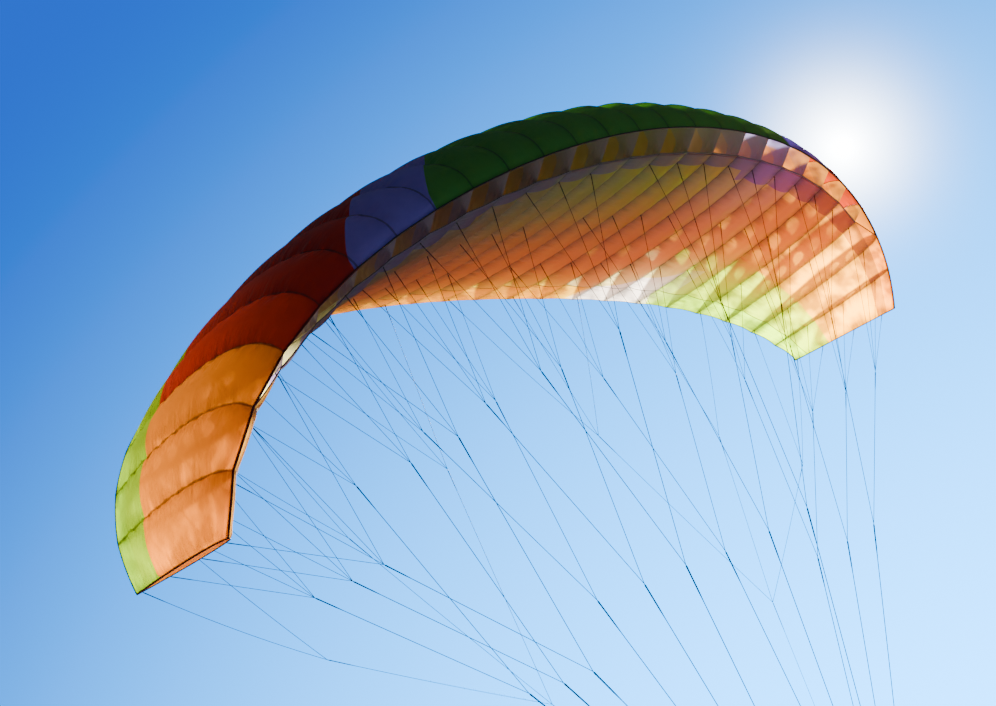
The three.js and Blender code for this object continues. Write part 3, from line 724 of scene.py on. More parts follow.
# One mesh from outlines drawn along paths. Each path comes with the way its outline's first axis points, the
# outline or one for each point, and whether it is closed.
def swept(paths, name):
    points, faces, coordinates = [], [], []
    for path, side, sections, closed in paths:
        path = np.asarray(path, float)
        count = len(path)
        if closed:
            way = unit(np.roll(path, -1, axis=0) - np.roll(path, 1, axis=0))
            lengths = arc_length(np.append(path, path[:1], axis=0))
        else:
            way = unit(np.gradient(path, axis=0))
            lengths = arc_length(path)
        side = np.broadcast_to(np.asarray(side, float), path.shape)
        side = unit(side - way * (side * way).sum(1, keepdims=True))
        over = np.cross(way, side)
        sections = np.asarray(sections, float)
        if sections.ndim == 2:
            sections = np.broadcast_to(sections, (count, *sections.shape))
        corners = sections.shape[1]
        start = len(points)
        rings = path[:, None] + side[:, None] * sections[..., :1] + over[:, None] * sections[..., 1:]
        points.extend(rings.reshape(-1, 3).tolist())
        around = arc_length(np.append(sections[0], sections[0][:1], axis=0))
        for i in range(count if closed else count - 1):
            j = (i + 1) % count
            for c in range(corners):
                d = (c + 1) % corners
                faces.append([start + i * corners + c, start + i * corners + d,
                              start + j * corners + d, start + j * corners + c])
                coordinates.append([(around[c], lengths[i]), (around[c + 1], lengths[i]),
                                    (around[c + 1], lengths[i + 1]), (around[c], lengths[i + 1])])
        if not closed:
            for i, order in ((0, 1), (count - 1, -1)):
                ring = [start + i * corners + c for c in range(corners)][::-order]
                faces.append(ring)
                coordinates.append([(around[c], lengths[i]) for c in range(corners)][::-order])
    mesh = bpy.data.meshes.new(name)
    mesh.from_pydata(points, [], faces)
    mesh.polygons.foreach_set("use_smooth", [len(f) == 4 for f in faces])
    layer = mesh.uv_layers.new(name="cloth")
    layer.data.foreach_set("uv", np.array([v for face in coordinates for uv in face for v in uv]))
    return add_object(name, mesh)


def round_section(radius, sides=8):
    angles = np.arange(sides) * 2 * math.pi / sides
    return np.stack([np.cos(angles), np.sin(angles)], axis=1) * radius


# A flat band with rounded edges
def band_section(wide, thick):
    r = thick / 2
    turns = np.linspace(-math.pi / 2, math.pi / 2, 5)
    right = [(wide / 2 - r + r * math.cos(a), r * math.sin(a)) for a in turns]
    return np.array(right + [(-x, -y) for x, y in right])


# Threads that cross at a slant, with some soil in the furrows
def woven_material(name, colour, thread, pitch):
    material = new_material(name)
    tree = material.node_tree
    across, along = uv_places(tree, "cloth")
    ridge = (across + along).maths("PINGPONG", pitch) * (1 / pitch)
    furrow = (across - along).maths("PINGPONG", pitch) * (1 / pitch)
    weave = ridge.maths("MAXIMUM", furrow)
    soil = noise(tree, in_metres(tree), 60.0, 4.0)
    tone = colour_mix(tree, weave * 0.6 + soil * 0.4, colour, thread)
    bump = Shade.node(tree, "ShaderNodeBump", {}, {"Strength": 0.5, "Distance": pitch * 0.5, "Height": weave})
    show(material, Shade.node(tree, "ShaderNodeBsdfPrincipled", {}, {
        "Base Color": tone, "Roughness": 0.62 + soil * 0.25, "Normal": bump}))
    return material


binding_tape = woven_material(
    "binding_tape", (0.022, 0.016, 0.022, 1), (0.060, 0.044, 0.060, 1), BINDING_WEAVE)
lilac_binding_tape = woven_material(
    "lilac_binding_tape", (0.10, 0.085, 0.13, 1), (0.19, 0.165, 0.24, 1), BINDING_WEAVE)
red_binding_tape = woven_material(
    "red_binding_tape", (0.075, 0.006, 0.010, 1), (0.170, 0.016, 0.022, 1), BINDING_WEAVE)


# The edge of a sail from tip to tip, at the first or the last of its stations
def edge_path(line_of, station, lip_back):
    return cloth_rows(0, CELLS, line_of, lip_back)[0][:, station]


def add_binding(name, path, radius, tape=binding_tape):
    section = round_section(radius) * (1, BINDING_FLAT)
    piece = swept([(path, BINDING_SIDE, section, False)], name)
    piece.data.materials.append(tape)
    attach(piece, "wing")


upper_lip = edge_path(upper_line, 0, UPPER_LIP_BACK)
lower_lip = edge_path(lower_line, 0, LOWER_LIP_BACK)
red_rows, closed_rows = [cells * (len(ACROSS_CELL) - 1) for cells in (RED_LIP_CELLS, CLOSED_CELLS)]
add_binding("upper_lip_binding", upper_lip[red_rows:-red_rows], 0.0055)
add_binding("upper_lip_binding_right", upper_lip[:red_rows + 1], 0.0072, red_binding_tape)
add_binding("upper_lip_binding_left", upper_lip[-red_rows - 1:], 0.0072, red_binding_tape)
add_binding("lower_lip_binding", lower_lip[closed_rows:-closed_rows], 0.0042, lilac_binding_tape)
add_binding("trailing_edge_binding", edge_path(upper_line, -1, UPPER_LIP_BACK), 0.004)
for side_name, k in (("right", 0), ("left", CELLS)):
    edge, face, _ = upper_line(k)
    add_binding(f"tip_binding_{side_name}", edge + face * CLOTH_LIFT, 0.0045, red_binding_tape)
    edge, face, _ = lower_line(k)
    add_binding(f"tip_lower_binding_{side_name}", edge + face * CLOTH_LIFT, 0.003)


# SUSPENSION LINES
# Braided cords in a tree: three or four short upper lines join one middle line, and two middle lines one
# main line. Each cord begins with a thick sewn loop, through which it is tied to what it hangs from.

# Each row's name, how far back on the chord it is, and the place of its riser. Each main line's name, its way
# from the middle of the link, and the ribs that its groups of upper lines start from.
ROWS = [("a", 0.10, -1), ("b", 0.38, 0), ("c", 0.70, 1)]
MAINS = [("inner", -1, [[12, 11, 10], [9, 8, 7]]), ("outer", 1, [[6, 5, 4], [3, 2, 1, 0]])]
SIDES = [("left", 1), ("right", -1)]

# How far the lines run towards the riser before they join, upper ones first, as a share of what is left
LINE_SHARE, MIDDLE_SHARE = 0.19, 0.35
LINE_RADII = (0.0014, 0.0019, 0.0024)
SPLICES = (0.11, 0.14, 0.19)
SPLICE_FAT = 2.1
TAB_DROP = 0.0132

# The first axis of every cord's outline; no cord runs this way
CORD_SIDE = (0.31, 0.87, 0.2)

# Solids that touch stand this far apart in the CAD model, and its main lines are this thick
END_GAP = 0.00035
MAIN_CORD = 0.0034
STRAP_TOP = 0.470
LINK_X, LINK_PITCH = 0.240, 0.045
LINK_RADIUS, LINK_STRETCH, LINK_WIRE = 0.015, 1.25, 0.0025
LINK_HALF_TALL = LINK_STRETCH * (LINK_RADIUS + LINK_WIRE)
LINK_MIDDLE = STRAP_TOP + END_GAP + LINK_HALF_TALL
LINES_END_Z = LINK_MIDDLE + LINK_HALF_TALL + END_GAP + MAIN_CORD / 2

line_braid = woven_material("line_braid", (0.012, 0.010, 0.012, 1), (0.036, 0.032, 0.034, 1), 0.0009)


# Where a line starts, under its rib
def tab_foot(k, back):
    rib = RIBS[k]
    foot = rib.nose + rib.along * back * rib.chord + rib.up * (belly(back) * rib.chord - TAB_DROP)
    return foot + rib.across * rib_shift(k)


# One cord, straight or with a little sag, with its sewn loop at the top
def cord_run(top, bottom, radius, splice=0.0, sag=0.0):
    length = float(np.linalg.norm(bottom - top))
    marks = [0, 0.012, 0.03, splice * 0.8, splice, splice * 1.15]
    stops = sorted({min(m, length) for m in marks} | set(np.linspace(splice * 1.3, length, 14 if sag else 3)))
    stops = np.array([s for s in stops if s <= length])
    share = stops / length
    path = top + np.outer(share, bottom - top)
    path[:, 2] -= sag * length * 4 * share * (1 - share)
    thick = np.ones(len(stops))
    if splice:
        thick = np.interp(stops, [0, 0.012, 0.03, splice * 0.8, splice * 1.15, splice * 1.3],
                          [0.9, SPLICE_FAT, SPLICE_FAT * 0.85, SPLICE_FAT * 0.8, 1.0, 1.0])
    sections = round_section(1.0, 6)[None] * (thick * radius)[:, None, None]
    return path, CORD_SIDE, sections, False


# The cords of one tree, from the tabs of its groups of ribs down to the end of its main line
def line_tree(groups, back, sign, end, share, radii, sag=0.0):
    runs, knots = [], []
    for ribs in groups:
        feet = [tab_foot(k if sign < 0 else CELLS - k, back) for k in ribs]
        centre = np.mean(feet, axis=0)
        knot = centre + (end - centre) * share
        runs += [cord_run(foot, knot, radii[0], SPLICES[0], sag) for foot in feet]
        knots.append(knot)
    centre = np.mean(knots, axis=0)
    low = centre + (end - centre) * MIDDLE_SHARE
    runs += [cord_run(knot, low, radii[1], SPLICES[1], sag * 0.3) for knot in knots]
    return runs + [cord_run(low, end, radii[2], SPLICES[2])]


def add_lines(name, runs):
    piece = swept(runs, f"{name}_cords")
    piece.data.materials.append(line_braid)
    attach(piece, "wing")
    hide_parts(name)


for side_name, sign in SIDES:
    for row, back, slot_y in ROWS:
        for main, way, groups in MAINS:
            end = np.array([sign * (LINK_X + way * MAIN_CORD), slot_y * LINK_PITCH, LINES_END_Z])
            runs = line_tree(groups, back, sign, end, LINE_SHARE, LINE_RADII)
            add_lines(f"{row}_lines_{main}_{side_name}", runs)


# LINE TABS
# Short loops of dark tape, sewn into the seams under the ribs. Each upper line is looped through one, and so
# are the brake lines at the trailing edge.

TAB_WIDE, TAB_THICK = 0.006, 0.0008
TAB_HALF_TALL, TAB_HALF_DEEP, TAB_MIDDLE = 0.0066, 0.0013, 0.0062
BRAKE_GROUPS = [[12, 10, 8], [6, 4], [2, 0]]
BRAKE_BACK = 0.975
tab_tape = woven_material("tab_tape", (0.025, 0.024, 0.032, 1), (0.075, 0.07, 0.09, 1), 0.0008)


def tab_loop(k, back):
    rib = RIBS[k]
    turns = np.linspace(0, 2 * math.pi, 12, endpoint=False)
    path = tab_foot(k, back) + np.outer(np.sin(turns) * TAB_HALF_DEEP, rib.across)
    path = path + np.outer(np.cos(turns) * TAB_HALF_TALL + TAB_MIDDLE, rib.up)
    corners = np.array([(-1, -1), (1, -1), (1, 1), (-1, 1)]) * (TAB_WIDE / 2, TAB_THICK / 2)
    return path, rib.along, corners, True


braked = {k for group in BRAKE_GROUPS for k in group}
tab_loops = []
for k in range(CELLS + 1):
    if k != CENTRE_RIB:
        tab_loops += [tab_loop(k, back) for _, back, _ in ROWS]
        if min(k, CELLS - k) in braked:
            tab_loops.append(tab_loop(k, BRAKE_BACK))
tabs = swept(tab_loops, "line_tabs")
tabs.data.materials.append(tab_tape)
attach(tabs, "wing")


# RISERS
# Three straps of flat webbing on each side. Each is doubled, goes round its link at the top and is sewn
# together below it with a zigzag. Two orange tracer threads run along every strap.

STRAP_WIDE, STRAP_THICK = 0.020, 0.00105
STRAP_FOOT = 0.03235
STRAP_PITCH = 0.0032
HOOK_X = 0.210
STRAP_WRAP = 0.0037
STRAP_SEWN, STRAP_SPREAD = 0.455, 0.4665
LAYERS_SEWN, LAYERS_SPREAD = 0.00058, 0.0026
HERRINGBONE_TURN, HERRINGBONE_STEP = 0.002, 0.0007
TRACER_PLACE, TRACER_HALF = STRAP_WIDE * 0.28, 0.0003
ZIGZAG_STEP, ZIGZAG_STEEP, ZIGZAG_MIDDLE, ZIGZAG_HALF = 0.0015, 2.2, 0.0022, 0.0003
LINK_WIRE_Z = STRAP_TOP + END_GAP + LINK_STRETCH * LINK_WIRE


def strap_rise(z):
    return (z - STRAP_FOOT) / (STRAP_TOP - STRAP_FOOT)


def strap_x(z):
    return HOOK_X + (LINK_X - HOOK_X) * strap_rise(z)


def strap_y(slot_y, z):
    return slot_y * (STRAP_PITCH + (LINK_PITCH - STRAP_PITCH) * strap_rise(z))


# Flat webbing with two tracer threads, and with a zigzag seam between two places along its length
def webbing_material(name, colour, thread, tracer, sewn_from, sewn_to):
    material = new_material(name)
    tree = material.node_tree
    across, along = uv_places(tree, "cloth")

    # Herringbone: short slanted ridges that turn back at each 2 mm
    slant = across.maths("PINGPONG", HERRINGBONE_TURN) + along
    weave = slant.maths("PINGPONG", HERRINGBONE_STEP) * (1 / HERRINGBONE_STEP)
    soil = noise(tree, in_metres(tree), 45.0, 4.0)
    tone = colour_mix(tree, weave * 0.55 + soil * 0.45, colour, thread)

    # The middle of the band is at a quarter of the way round its outline, and again at three quarters
    from_middle = (across.maths("PINGPONG", STRAP_WIDE) - STRAP_WIDE * 0.5).maths("ABSOLUTE")
    line = (from_middle - TRACER_PLACE).maths("ABSOLUTE").below(TRACER_HALF, TRACER_HALF + 0.0003)
    tone = colour_mix(tree, line, tone, tracer)
    zigzag = from_middle - along.maths("PINGPONG", ZIGZAG_STEP) * ZIGZAG_STEEP - ZIGZAG_MIDDLE
    zigzag = zigzag.maths("ABSOLUTE").below(ZIGZAG_HALF, ZIGZAG_HALF + 0.0002)
    sewn = along.below(sewn_to, sewn_to + 0.0004) - along.below(sewn_from, sewn_from + 0.0004)
    stitch = zigzag * sewn
    tone = colour_mix(tree, stitch, tone, (0.34, 0.33, 0.30, 1))
    bump = Shade.node(tree, "ShaderNodeBump", {}, {
        "Strength": 0.6, "Distance": 0.0004, "Height": weave + stitch * 1.5})
    show(material, Shade.node(tree, "ShaderNodeBsdfPrincipled", {}, {
        "Base Color": tone, "Roughness": 0.6 + soil * 0.3, "Normal": bump}))
    return material


riser_webbing = webbing_material(
    "riser_webbing", (0.014, 0.015, 0.019, 1), (0.040, 0.042, 0.052, 1), (0.42, 0.13, 0.05, 1), 0.395, 0.435)


# Up the front layer, round the link's wire, and down the back layer
def strap_path(slot_y, sign):
    heights = np.concatenate([np.linspace(STRAP_FOOT - 0.0002, 0.44, 14), np.linspace(0.45, STRAP_SPREAD, 4)])
    apart = np.interp(heights, [STRAP_SEWN, STRAP_SPREAD], [LAYERS_SEWN, LAYERS_SPREAD])
    front, back = [np.column_stack([sign * strap_x(heights), strap_y(slot_y, heights) + way * apart, heights])
                   for way in (-1, 1)]
    turns = np.radians(np.linspace(205, -25, 9))
    over = np.column_stack([0 * turns, np.cos(turns), np.sin(turns)]) * STRAP_WRAP
    return np.concatenate([front, over + (sign * LINK_X, slot_y * LINK_PITCH, LINK_WIRE_Z), back[::-1]])


for side_name, sign in SIDES:
    for row, _, slot_y in ROWS:
        strap = (strap_path(slot_y, sign), (1, 0, 0), band_section(STRAP_WIDE, STRAP_THICK), True)
        piece = swept([strap], f"{row}_riser_{side_name}_webbing")
        piece.data.materials.append(riser_webbing)
        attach(piece, "wing")
        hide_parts(f"{row}_riser_{side_name}")


# RISER FEET
# The three straps of a side are sewn to one another and to the hook-in loop. A turn of wide red tape covers
# the seam and is sewn through all of them.

FOOT_WRAP_Z, FOOT_WRAP_TALL, FOOT_WRAP_THICK, FOOT_WRAP_CORNER = 0.0445, 0.024, 0.0009, 0.0016
FOOT_WRAP_WIDE, FOOT_WRAP_DEEP = STRAP_WIDE + 0.0012, 3 * STRAP_PITCH + 0.0030
foot_tape = woven_material("foot_tape", (0.030, 0.004, 0.006, 1), (0.085, 0.012, 0.014, 1), 0.0008)


# A closed path round a rectangle with rounded corners
def rounded_path(deep, tall, corner, steps=6):
    points = []
    for y, z, start in ((1, 1, 0), (-1, 1, 90), (-1, -1, 180), (1, -1, 270)):
        for a in np.radians(np.linspace(start, start + 90, steps)):
            points.append((y * (deep / 2 - corner) + corner * math.cos(a),
                           z * (tall / 2 - corner) + corner * math.sin(a)))
    sides = []
    for i, (y, z) in enumerate(points):
        nexty, nextz = points[(i + 1) % len(points)]
        count = max(1, round(math.hypot(nexty - y, nextz - z) / 0.006))
        sides += [(y + (nexty - y) * c / count, z + (nextz - z) * c / count) for c in range(count)]
    return np.array(sides)


for side_name, sign in SIDES:
    outline = rounded_path(FOOT_WRAP_WIDE, FOOT_WRAP_DEEP, FOOT_WRAP_CORNER)
    middle = (sign * strap_x(FOOT_WRAP_Z), 0, FOOT_WRAP_Z)
    path = np.column_stack([outline, np.zeros(len(outline))]) + middle
    turn = (path, (0, 0, 1), band_section(FOOT_WRAP_TALL, FOOT_WRAP_THICK), True)
    wrap = swept([turn], f"riser_foot_wrap_{side_name}")
    wrap.data.materials.append(foot_tape)
    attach(wrap, "wing")


# HOOK-IN LOOPS
# The foot of the three risers, where a connector goes through it. It is a loop of several layers of webbing,
# sewn flat on one another.

LOOP_DEEP, LOOP_TALL, LOOP_WIDE, LOOP_WALL, LOOP_CORNER = 0.032, 0.064, 0.022, 0.005, 0.009
loop_webbing = webbing_material(
    "loop_webbing", (0.014, 0.015, 0.019, 1), (0.042, 0.044, 0.054, 1), (0.30, 0.30, 0.30, 1), 0.0, 0.02)

for side_name, sign in SIDES:
    outline = rounded_path(LOOP_DEEP - LOOP_WALL, LOOP_TALL - LOOP_WALL, LOOP_CORNER - LOOP_WALL / 2)
    path = np.column_stack([np.full(len(outline), sign * HOOK_X), outline])
    loop = (path, (1, 0, 0), band_section(LOOP_WIDE, LOOP_WALL), True)
    piece = swept([loop], f"hook_loop_{side_name}_webbing")
    piece.data.materials.append(loop_webbing)
    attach(piece, "wing")
    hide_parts(f"hook_loop_{side_name}")


# LINKS
# Small oval screw links of round stainless wire, each closed by a six-sided sleeve. Three rubber rings round
# the top of the wire keep the lines in their places.

SLEEVE_SIZES = (0.0034, 0.0040, 0.0042, 0.0042, 0.0042, 0.0040, 0.0034)
SLEEVE_HALF_TURN = 22
KEEPER_CORD, KEEPER_DEEP, KEEPER_TALL = 0.0008, 0.0034, 0.0039
KEEPER_PLACES = (-0.0062, 0, 0.0062)


# Drawn or rolled steel: fine scratches along its grain, and duller worn patches
def steel_material(name, colour, grain_way):
    material = new_material(name)
    tree = material.node_tree
    metres = in_metres(tree)
    drawn = Shade.node(tree, "ShaderNodeVectorMath", {"operation": "MULTIPLY"}, {0: metres, 1: grain_way})
    grain = noise(tree, drawn, 1.0, 3.0, 0.6)
    worn = noise(tree, metres, 130.0, 4.0, 0.6).below(0.42, 0.56)
    tone = colour_mix(tree, worn * 0.5 + grain * 0.3, colour, (0.34, 0.33, 0.31, 1))
    bump = Shade.node(tree, "ShaderNodeBump", {}, {"Strength": 0.25, "Distance": 0.0002, "Height": grain})
    show(material, Shade.node(tree, "ShaderNodeBsdfPrincipled", {}, {
        "Base Color": tone, "Metallic": 1.0 - worn * 0.06, "Roughness": 0.20 + grain * 0.16 + worn * 0.10,
        "Normal": bump}))
    return material


link_steel = steel_material("link_steel", (0.66, 0.67, 0.69, 1), (900.0, 900.0, 120.0))
ring_rubber = woven_material("ring_rubber", (0.012, 0.012, 0.013, 1), (0.030, 0.029, 0.030, 1), 0.0004)


# An upright oval, or a part of one
def oval_path(centre, turns, radius, stretch):
    return centre + np.column_stack([np.cos(turns), 0 * turns, np.sin(turns) * stretch]) * radius


whole_turn = np.linspace(0, 2 * math.pi, 36, endpoint=False)
sleeve_turn = np.radians(np.linspace(-SLEEVE_HALF_TURN, SLEEVE_HALF_TURN, len(SLEEVE_SIZES)))
keeper_turn = np.linspace(0, 2 * math.pi, 20, endpoint=False)
keeper_ring = np.column_stack([
    0 * keeper_turn, np.cos(keeper_turn) * KEEPER_DEEP, np.sin(keeper_turn) * KEEPER_TALL])
keeper_cord = round_section(KEEPER_CORD)

for side_name, sign in SIDES:
    for row, _, slot_y in ROWS:
        centre = np.array([sign * LINK_X, slot_y * LINK_PITCH, LINK_MIDDLE])
        wire = oval_path(centre, whole_turn, LINK_RADIUS, LINK_STRETCH)
        sleeve = oval_path(centre, sleeve_turn, LINK_RADIUS, LINK_STRETCH)
        piece = swept([
            (wire, (0, 1, 0), round_section(LINK_WIRE, 12), True),
            (sleeve, (0, 1, 0), round_section(1.0, 6)[None] * np.array(SLEEVE_SIZES)[:, None, None], False),
        ], f"{row}_link_{side_name}_screw_link")
        piece.data.materials.append(link_steel)
        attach(piece, "wing")
        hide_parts(f"{row}_link_{side_name}")

        top = centre + (0, 0, LINK_RADIUS * LINK_STRETCH)
        keeper = swept([
            (top + keeper_ring + (x, 0, 0), (1, 0, 0), keeper_cord, True) for x in KEEPER_PLACES
        ], f"{row}_keeper_{side_name}")
        keeper.data.materials.append(ring_rubber)
        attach(keeper, "wing")


# BRAKE PULLEYS
# A folded steel bracket on the back of each rear riser, with rounded cheeks, holds a grooved nylon sheave
# on a riveted pin. The sheave turns freely as the brake line runs over it.

BRACKET_WIDE, BRACKET_TALL, BRACKET_PLATE, BRACKET_REACH, BRACKET_CHEEK = 0.018, 0.026, 0.003, 0.030, 0.0025
SHEAVE_BACK = 0.017
SPOKE_IN, SPOKE_OUT, SPOKE_HALF = 0.0044, 0.0074, 0.0005
SPOKE_SIDES = ((-0.0039, -0.0031), (0.0031, 0.0039))
PULLEY_Z = 0.330
# Both layers of a strap, as one solid in the CAD model
RISER_THICK = 0.0025
STRAP_SLOPE = math.atan2(LINK_PITCH - STRAP_PITCH, STRAP_TOP - STRAP_FOOT)


# The back of the rear riser at the pulley's height, with Y away from the strap and Z up along it
def pulley_frame(sign):
    proud = RISER_THICK / 2 / math.cos(STRAP_SLOPE) + END_GAP
    place = Matrix.Translation((sign * strap_x(PULLEY_Z), strap_y(1, PULLEY_Z) + proud, PULLEY_Z))
    return place @ Matrix.Rotation(-STRAP_SLOPE, 4, "X")


# A flat part of any outline, given in the Y-Z plane, between two places along X
def flat_part(outline, start, end):
    count = len(outline)
    points = [(x, y, z) for x in (start, end) for y, z in outline]
    faces = [tuple(range(count))[::-1], tuple(range(count, 2 * count))]
    faces += [(i, (i + 1) % count, count + (i + 1) % count, count + i) for i in range(count)]
    return points, faces


# A round part on an axis along X, from places along it and their radii; the axis stands this far back along Y
def turned_part(profile, middle, sides):
    angles = np.arange(sides) * 2 * math.pi / sides
    points = [(x, middle + r * math.cos(a), r * math.sin(a)) for x, r in profile for a in angles]
    faces = []
    for i in range(len(profile) - 1):
        for s in range(sides):
            e = (s + 1) % sides
            faces.append((i * sides + s, i * sides + e, (i + 1) * sides + e, (i + 1) * sides + s))
    return points, faces


# One mesh from parts, put in place; edges are broken by a bevel of the given size
def put_together(parts, name, place, bevel=0.0):
    points, faces = [], []
    for part_points, part_faces in parts:
        start = len(points)
        points += [tuple(place @ Vector(p)) for p in part_points]
        faces += [tuple(start + v for v in face) for face in part_faces]
    mesh = bpy.data.meshes.new(name)
    mesh.from_pydata(points, [], faces)
    mesh.polygons.foreach_set("use_smooth", [True] * len(faces))
    shape = bmesh.new()
    shape.from_mesh(mesh)
    bmesh.ops.recalc_face_normals(shape, faces=shape.faces)
    if bevel:
        sharp = [e for e in shape.edges if e.is_manifold and e.calc_face_angle() > math.radians(35)]
        bmesh.ops.bevel(shape, geom=sharp, offset=bevel, segments=2, affect="EDGES", profile=0.6)
    shape.to_mesh(mesh)
    shape.free()
    mesh.set_sharp_from_angle(angle=math.radians(40))
    return add_object(name, mesh)


bracket_steel = steel_material("bracket_steel", (0.58, 0.59, 0.61, 1), (150.0, 900.0, 900.0))
sheave_nylon = woven_material("sheave_nylon", (0.020, 0.021, 0.024, 1), (0.055, 0.056, 0.060, 1), 0.0003)

half_wide, half_tall = BRACKET_WIDE / 2, BRACKET_TALL / 2
cheek_outline = [(0.0, -half_tall)] + [
    (BRACKET_REACH - half_tall + half_tall * math.cos(a), half_tall * math.sin(a))
    for a in np.radians(np.linspace(-90, 90, 15))] + [(0.0, half_tall)]
plate_outline = [(0.0, -half_tall), (BRACKET_PLATE, -half_tall), (BRACKET_PLATE, half_tall), (0.0, half_tall)]
plate_end = half_wide - BRACKET_CHEEK * 0.9

# One end of the pin, from where it leaves the cheek to the middle of its riveted head
pin_head = [(-0.0001, 0.0017), (0, 0.0031), (0.0006, 0.0026), (0.0010, 0.0016), (0.0011, 0.0)]
pin_profile = [(-half_wide - x, r) for x, r in pin_head[::-1]] + [(half_wide + x, r) for x, r in pin_head]

# One side of the sheave, from its bore over the hub, the web and the rim to the floor of the groove
sheave_side = [
    (0.0040, 0.0022), (0.0040, 0.0042), (0.0033, 0.0046), (0.0033, 0.0072), (0.0040, 0.0078),
    (0.0040, 0.0095), (0.0036, 0.0100), (0.0030, 0.0098), (0.0012, 0.0078)]
sheave_profile = [(-x, r) for x, r in sheave_side] + [(0.0, 0.0075)] + sheave_side[::-1] + [(-0.0040, 0.0022)]


# A spoke stands on each side of the web, at an angle round the axle
def spoke_parts(angle):
    way = np.array([math.cos(angle), math.sin(angle)])
    beside = np.array([-math.sin(angle), math.cos(angle)])
    corners = ((SPOKE_IN, -1), (SPOKE_OUT, -1), (SPOKE_OUT, 1), (SPOKE_IN, 1))
    outline = [tuple((SHEAVE_BACK, 0) + way * r + beside * SPOKE_HALF * end) for r, end in corners]
    return [flat_part(outline, start, stop) for start, stop in SPOKE_SIDES]


for side_name, sign in SIDES:
    place = pulley_frame(sign)
    piece = put_together([
        flat_part(cheek_outline, -half_wide, -half_wide + BRACKET_CHEEK),
        flat_part(cheek_outline, half_wide - BRACKET_CHEEK, half_wide),
        flat_part(plate_outline, -plate_end, plate_end),
    ], f"brake_pulley_{side_name}_bracket", place, 0.0005)
    piece.data.materials.append(bracket_steel)
    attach(piece, "wing")
    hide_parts(f"brake_pulley_{side_name}")
    pin = put_together([turned_part(pin_profile, SHEAVE_BACK, 24)], f"pulley_pin_{side_name}", place)
    pin.data.materials.append(link_steel)
    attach(pin, "wing")

    wheel = [turned_part(sheave_profile, SHEAVE_BACK, 48)]
    for angle in range(0, 360, 60):
        wheel += spoke_parts(math.radians(angle))
    sheave = put_together(wheel, f"brake_sheave_{side_name}_wheel", place)
    sheave.data.materials.append(sheave_nylon)
    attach(sheave, f"{side_name}_sheave")
    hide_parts(f"brake_sheave_{side_name}")


# BRAKE LINES
# Cords from the trailing edge, gathered by three and two into one, which runs down beside the sheave to
# the toggle. No load is on them, so the upper ones hang in slight curves.

BRAKE_BESIDE, BRAKE_REACH = 0.02605, 0.017
BRAKE_SHARE, BRAKE_SAG = 0.24, 0.02
BRAKE_RADII = (0.0014, 0.0014, 0.0013)
TOGGLE_TOP = 0.250
KNOT_RADIUS, KNOT_TOP, KNOT_FOOT = 0.0026, 0.013, 0.003

# Two turns of the cord over the toggle
knot_turns = np.linspace(0, 4 * math.pi, 26)
knot = np.column_stack([
    np.cos(knot_turns) * KNOT_RADIUS, np.sin(knot_turns) * KNOT_RADIUS, np.linspace(KNOT_TOP, KNOT_FOOT, 26)])


# Where the cord meets the sheave from above (1) and leaves it below (-1)
def beside_sheave(sign, way):
    return np.array(pulley_frame(sign) @ Vector((0, BRAKE_BESIDE, way * BRAKE_REACH)))


for side_name, sign in SIDES:
    entry, way_out = beside_sheave(sign, 1), beside_sheave(sign, -1)
    handle_top = np.array([way_out[0], way_out[1], TOGGLE_TOP])
    runs = line_tree(BRAKE_GROUPS, BRAKE_BACK, sign, entry, BRAKE_SHARE, BRAKE_RADII, BRAKE_SAG)
    runs += [cord_run(entry, way_out, BRAKE_RADII[2]), cord_run(way_out, handle_top, BRAKE_RADII[2])]
    runs.append((handle_top + knot, (0, 0, 1), round_section(BRAKE_RADII[2], 6), False))
    add_lines(f"brake_lines_{side_name}", runs)


# BRAKE TOGGLES
# A hand loop of stiff webbing, doubled and sewn at the top, where the brake line is tied to it. A steel
# press stud parks it on the riser.

TOGGLE_WIDE, TOGGLE_TALL, TOGGLE_WALL, TOGGLE_CORNER, TOGGLE_STRAP = 0.084, 0.120, 0.005, 0.026, 0.022
TOGGLE_THICK = 0.0034
PATCH_HALF, PATCH_THICK, PATCH_DOWN = 0.026, 0.0015, 0.0008
STUD_INWARD = 0.0007
STUD_PROFILE = [
    (0.0, 0.0), (-0.0014, 0.0), (-0.0014, 0.0028), (-0.0009, 0.0050), (0.0, 0.0056), (0.0006, 0.0056)]
toggle_webbing = webbing_material(
    "toggle_webbing", (0.090, 0.012, 0.010, 1), (0.210, 0.035, 0.025, 1), (0.55, 0.52, 0.48, 1), 0.0, 0.022)

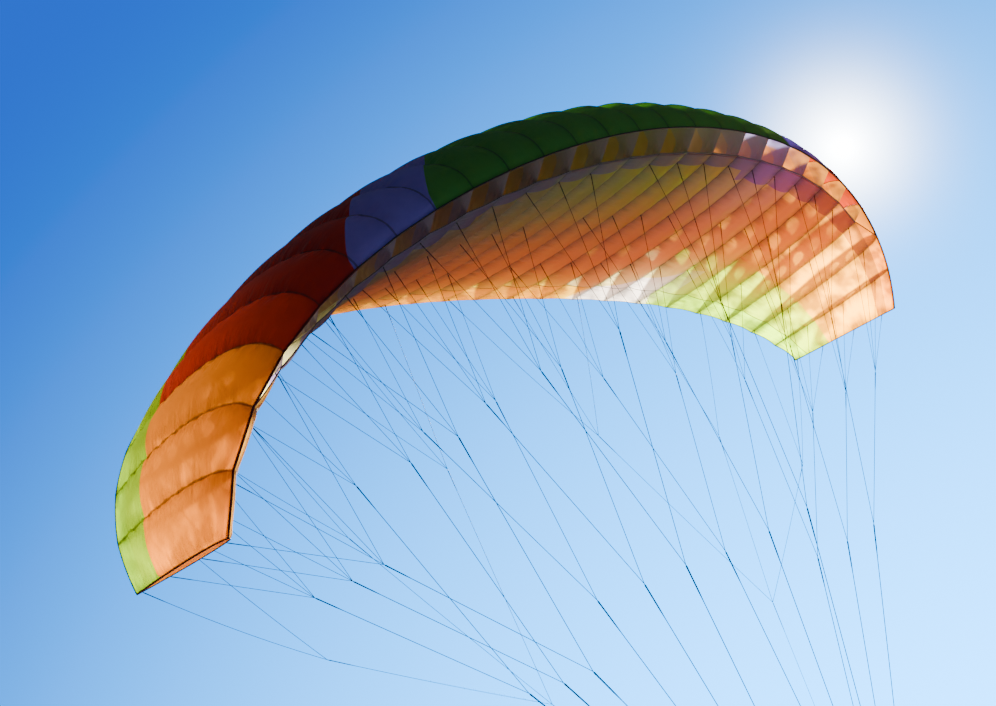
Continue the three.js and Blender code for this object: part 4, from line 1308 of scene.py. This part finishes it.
for side_name, sign in SIDES:
    way_out = beside_sheave(sign, -1)
    middle = np.array([way_out[0], way_out[1], TOGGLE_TOP - END_GAP - TOGGLE_TALL / 2])
    outline = rounded_path(
        TOGGLE_WIDE - TOGGLE_WALL, TOGGLE_TALL - TOGGLE_WALL, TOGGLE_CORNER - TOGGLE_WALL / 2)
    path = middle + np.column_stack([outline[:, 0], np.zeros(len(outline)), outline[:, 1]])
    loop = (path, (0, 1, 0), band_section(TOGGLE_STRAP, TOGGLE_THICK), True)
    piece = swept([loop], f"brake_toggle_{side_name}_loop")
    piece.data.materials.append(toggle_webbing)
    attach(piece, "wing")
    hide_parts(f"brake_toggle_{side_name}")

    along_top = np.linspace(-PATCH_HALF, PATCH_HALF, 12)
    path = middle + np.column_stack([along_top, np.zeros(12), np.full(12, TOGGLE_TALL / 2 - PATCH_DOWN)])
    doubled = (path, (0, 1, 0), band_section(TOGGLE_STRAP * 0.92, PATCH_THICK), False)
    patch = swept([doubled], f"toggle_patch_{side_name}")
    patch.data.materials.append(toggle_webbing)
    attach(patch, "wing")

    inner_side = middle + (-sign * (TOGGLE_WIDE / 2 - STUD_INWARD), 0, 0)
    stud_place = Matrix.Translation(inner_side) @ Matrix.Rotation(math.pi if sign > 0 else 0, 4, "Z")
    stud = put_together([turned_part(STUD_PROFILE, 0.0, 28)], f"toggle_stud_{side_name}", stud_place)
    stud.data.materials.append(link_steel)
    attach(stud, "wing")


# TRIM BUCKLES
# A cam buckle round each rear riser, to set its length: a sleeve folded of sheet steel, and a knurled roller
# in it that grips the webbing.

BUCKLE_Z, BUCKLE_WIDE, BUCKLE_DEEP, BUCKLE_TALL = 0.200, 0.030, 0.012, 0.030
BUCKLE_WALL, BUCKLE_CORNER = 0.0022, 0.0030
ROLLER_END, ROLLER_KNURL, ROLLER_BACK, ROLLER_RADII = 0.0096, 0.0095, 0.0039, (0.0018, 0.0021)

for side_name, sign in SIDES:
    place = Matrix.Translation((sign * strap_x(BUCKLE_Z), strap_y(1, BUCKLE_Z), BUCKLE_Z))
    place = place @ Matrix.Rotation(-STRAP_SLOPE, 4, "X")
    outline = rounded_path(BUCKLE_WIDE - BUCKLE_WALL, BUCKLE_DEEP - BUCKLE_WALL, BUCKLE_CORNER, 5)
    path = np.array([place @ Vector((x, y, 0)) for x, y in outline])
    upright = place.to_3x3() @ Vector((0, 0, 1))
    sleeve = (path, upright, band_section(BUCKLE_TALL, BUCKLE_WALL), True)
    piece = swept([sleeve], f"trim_buckle_{side_name}_sleeve")
    piece.data.materials.append(bracket_steel)
    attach(piece, "wing")
    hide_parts(f"trim_buckle_{side_name}")

    knurl = [(x, ROLLER_RADII[i % 2]) for i, x in enumerate(np.linspace(-ROLLER_KNURL, ROLLER_KNURL, 25))]
    profile = [(-ROLLER_END, 0.0), *knurl, (ROLLER_END, 0.0)]
    roller = put_together([turned_part(profile, ROLLER_BACK, 16)], f"trim_roller_{side_name}", place)
    roller.data.materials.append(link_steel)
    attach(roller, "wing")
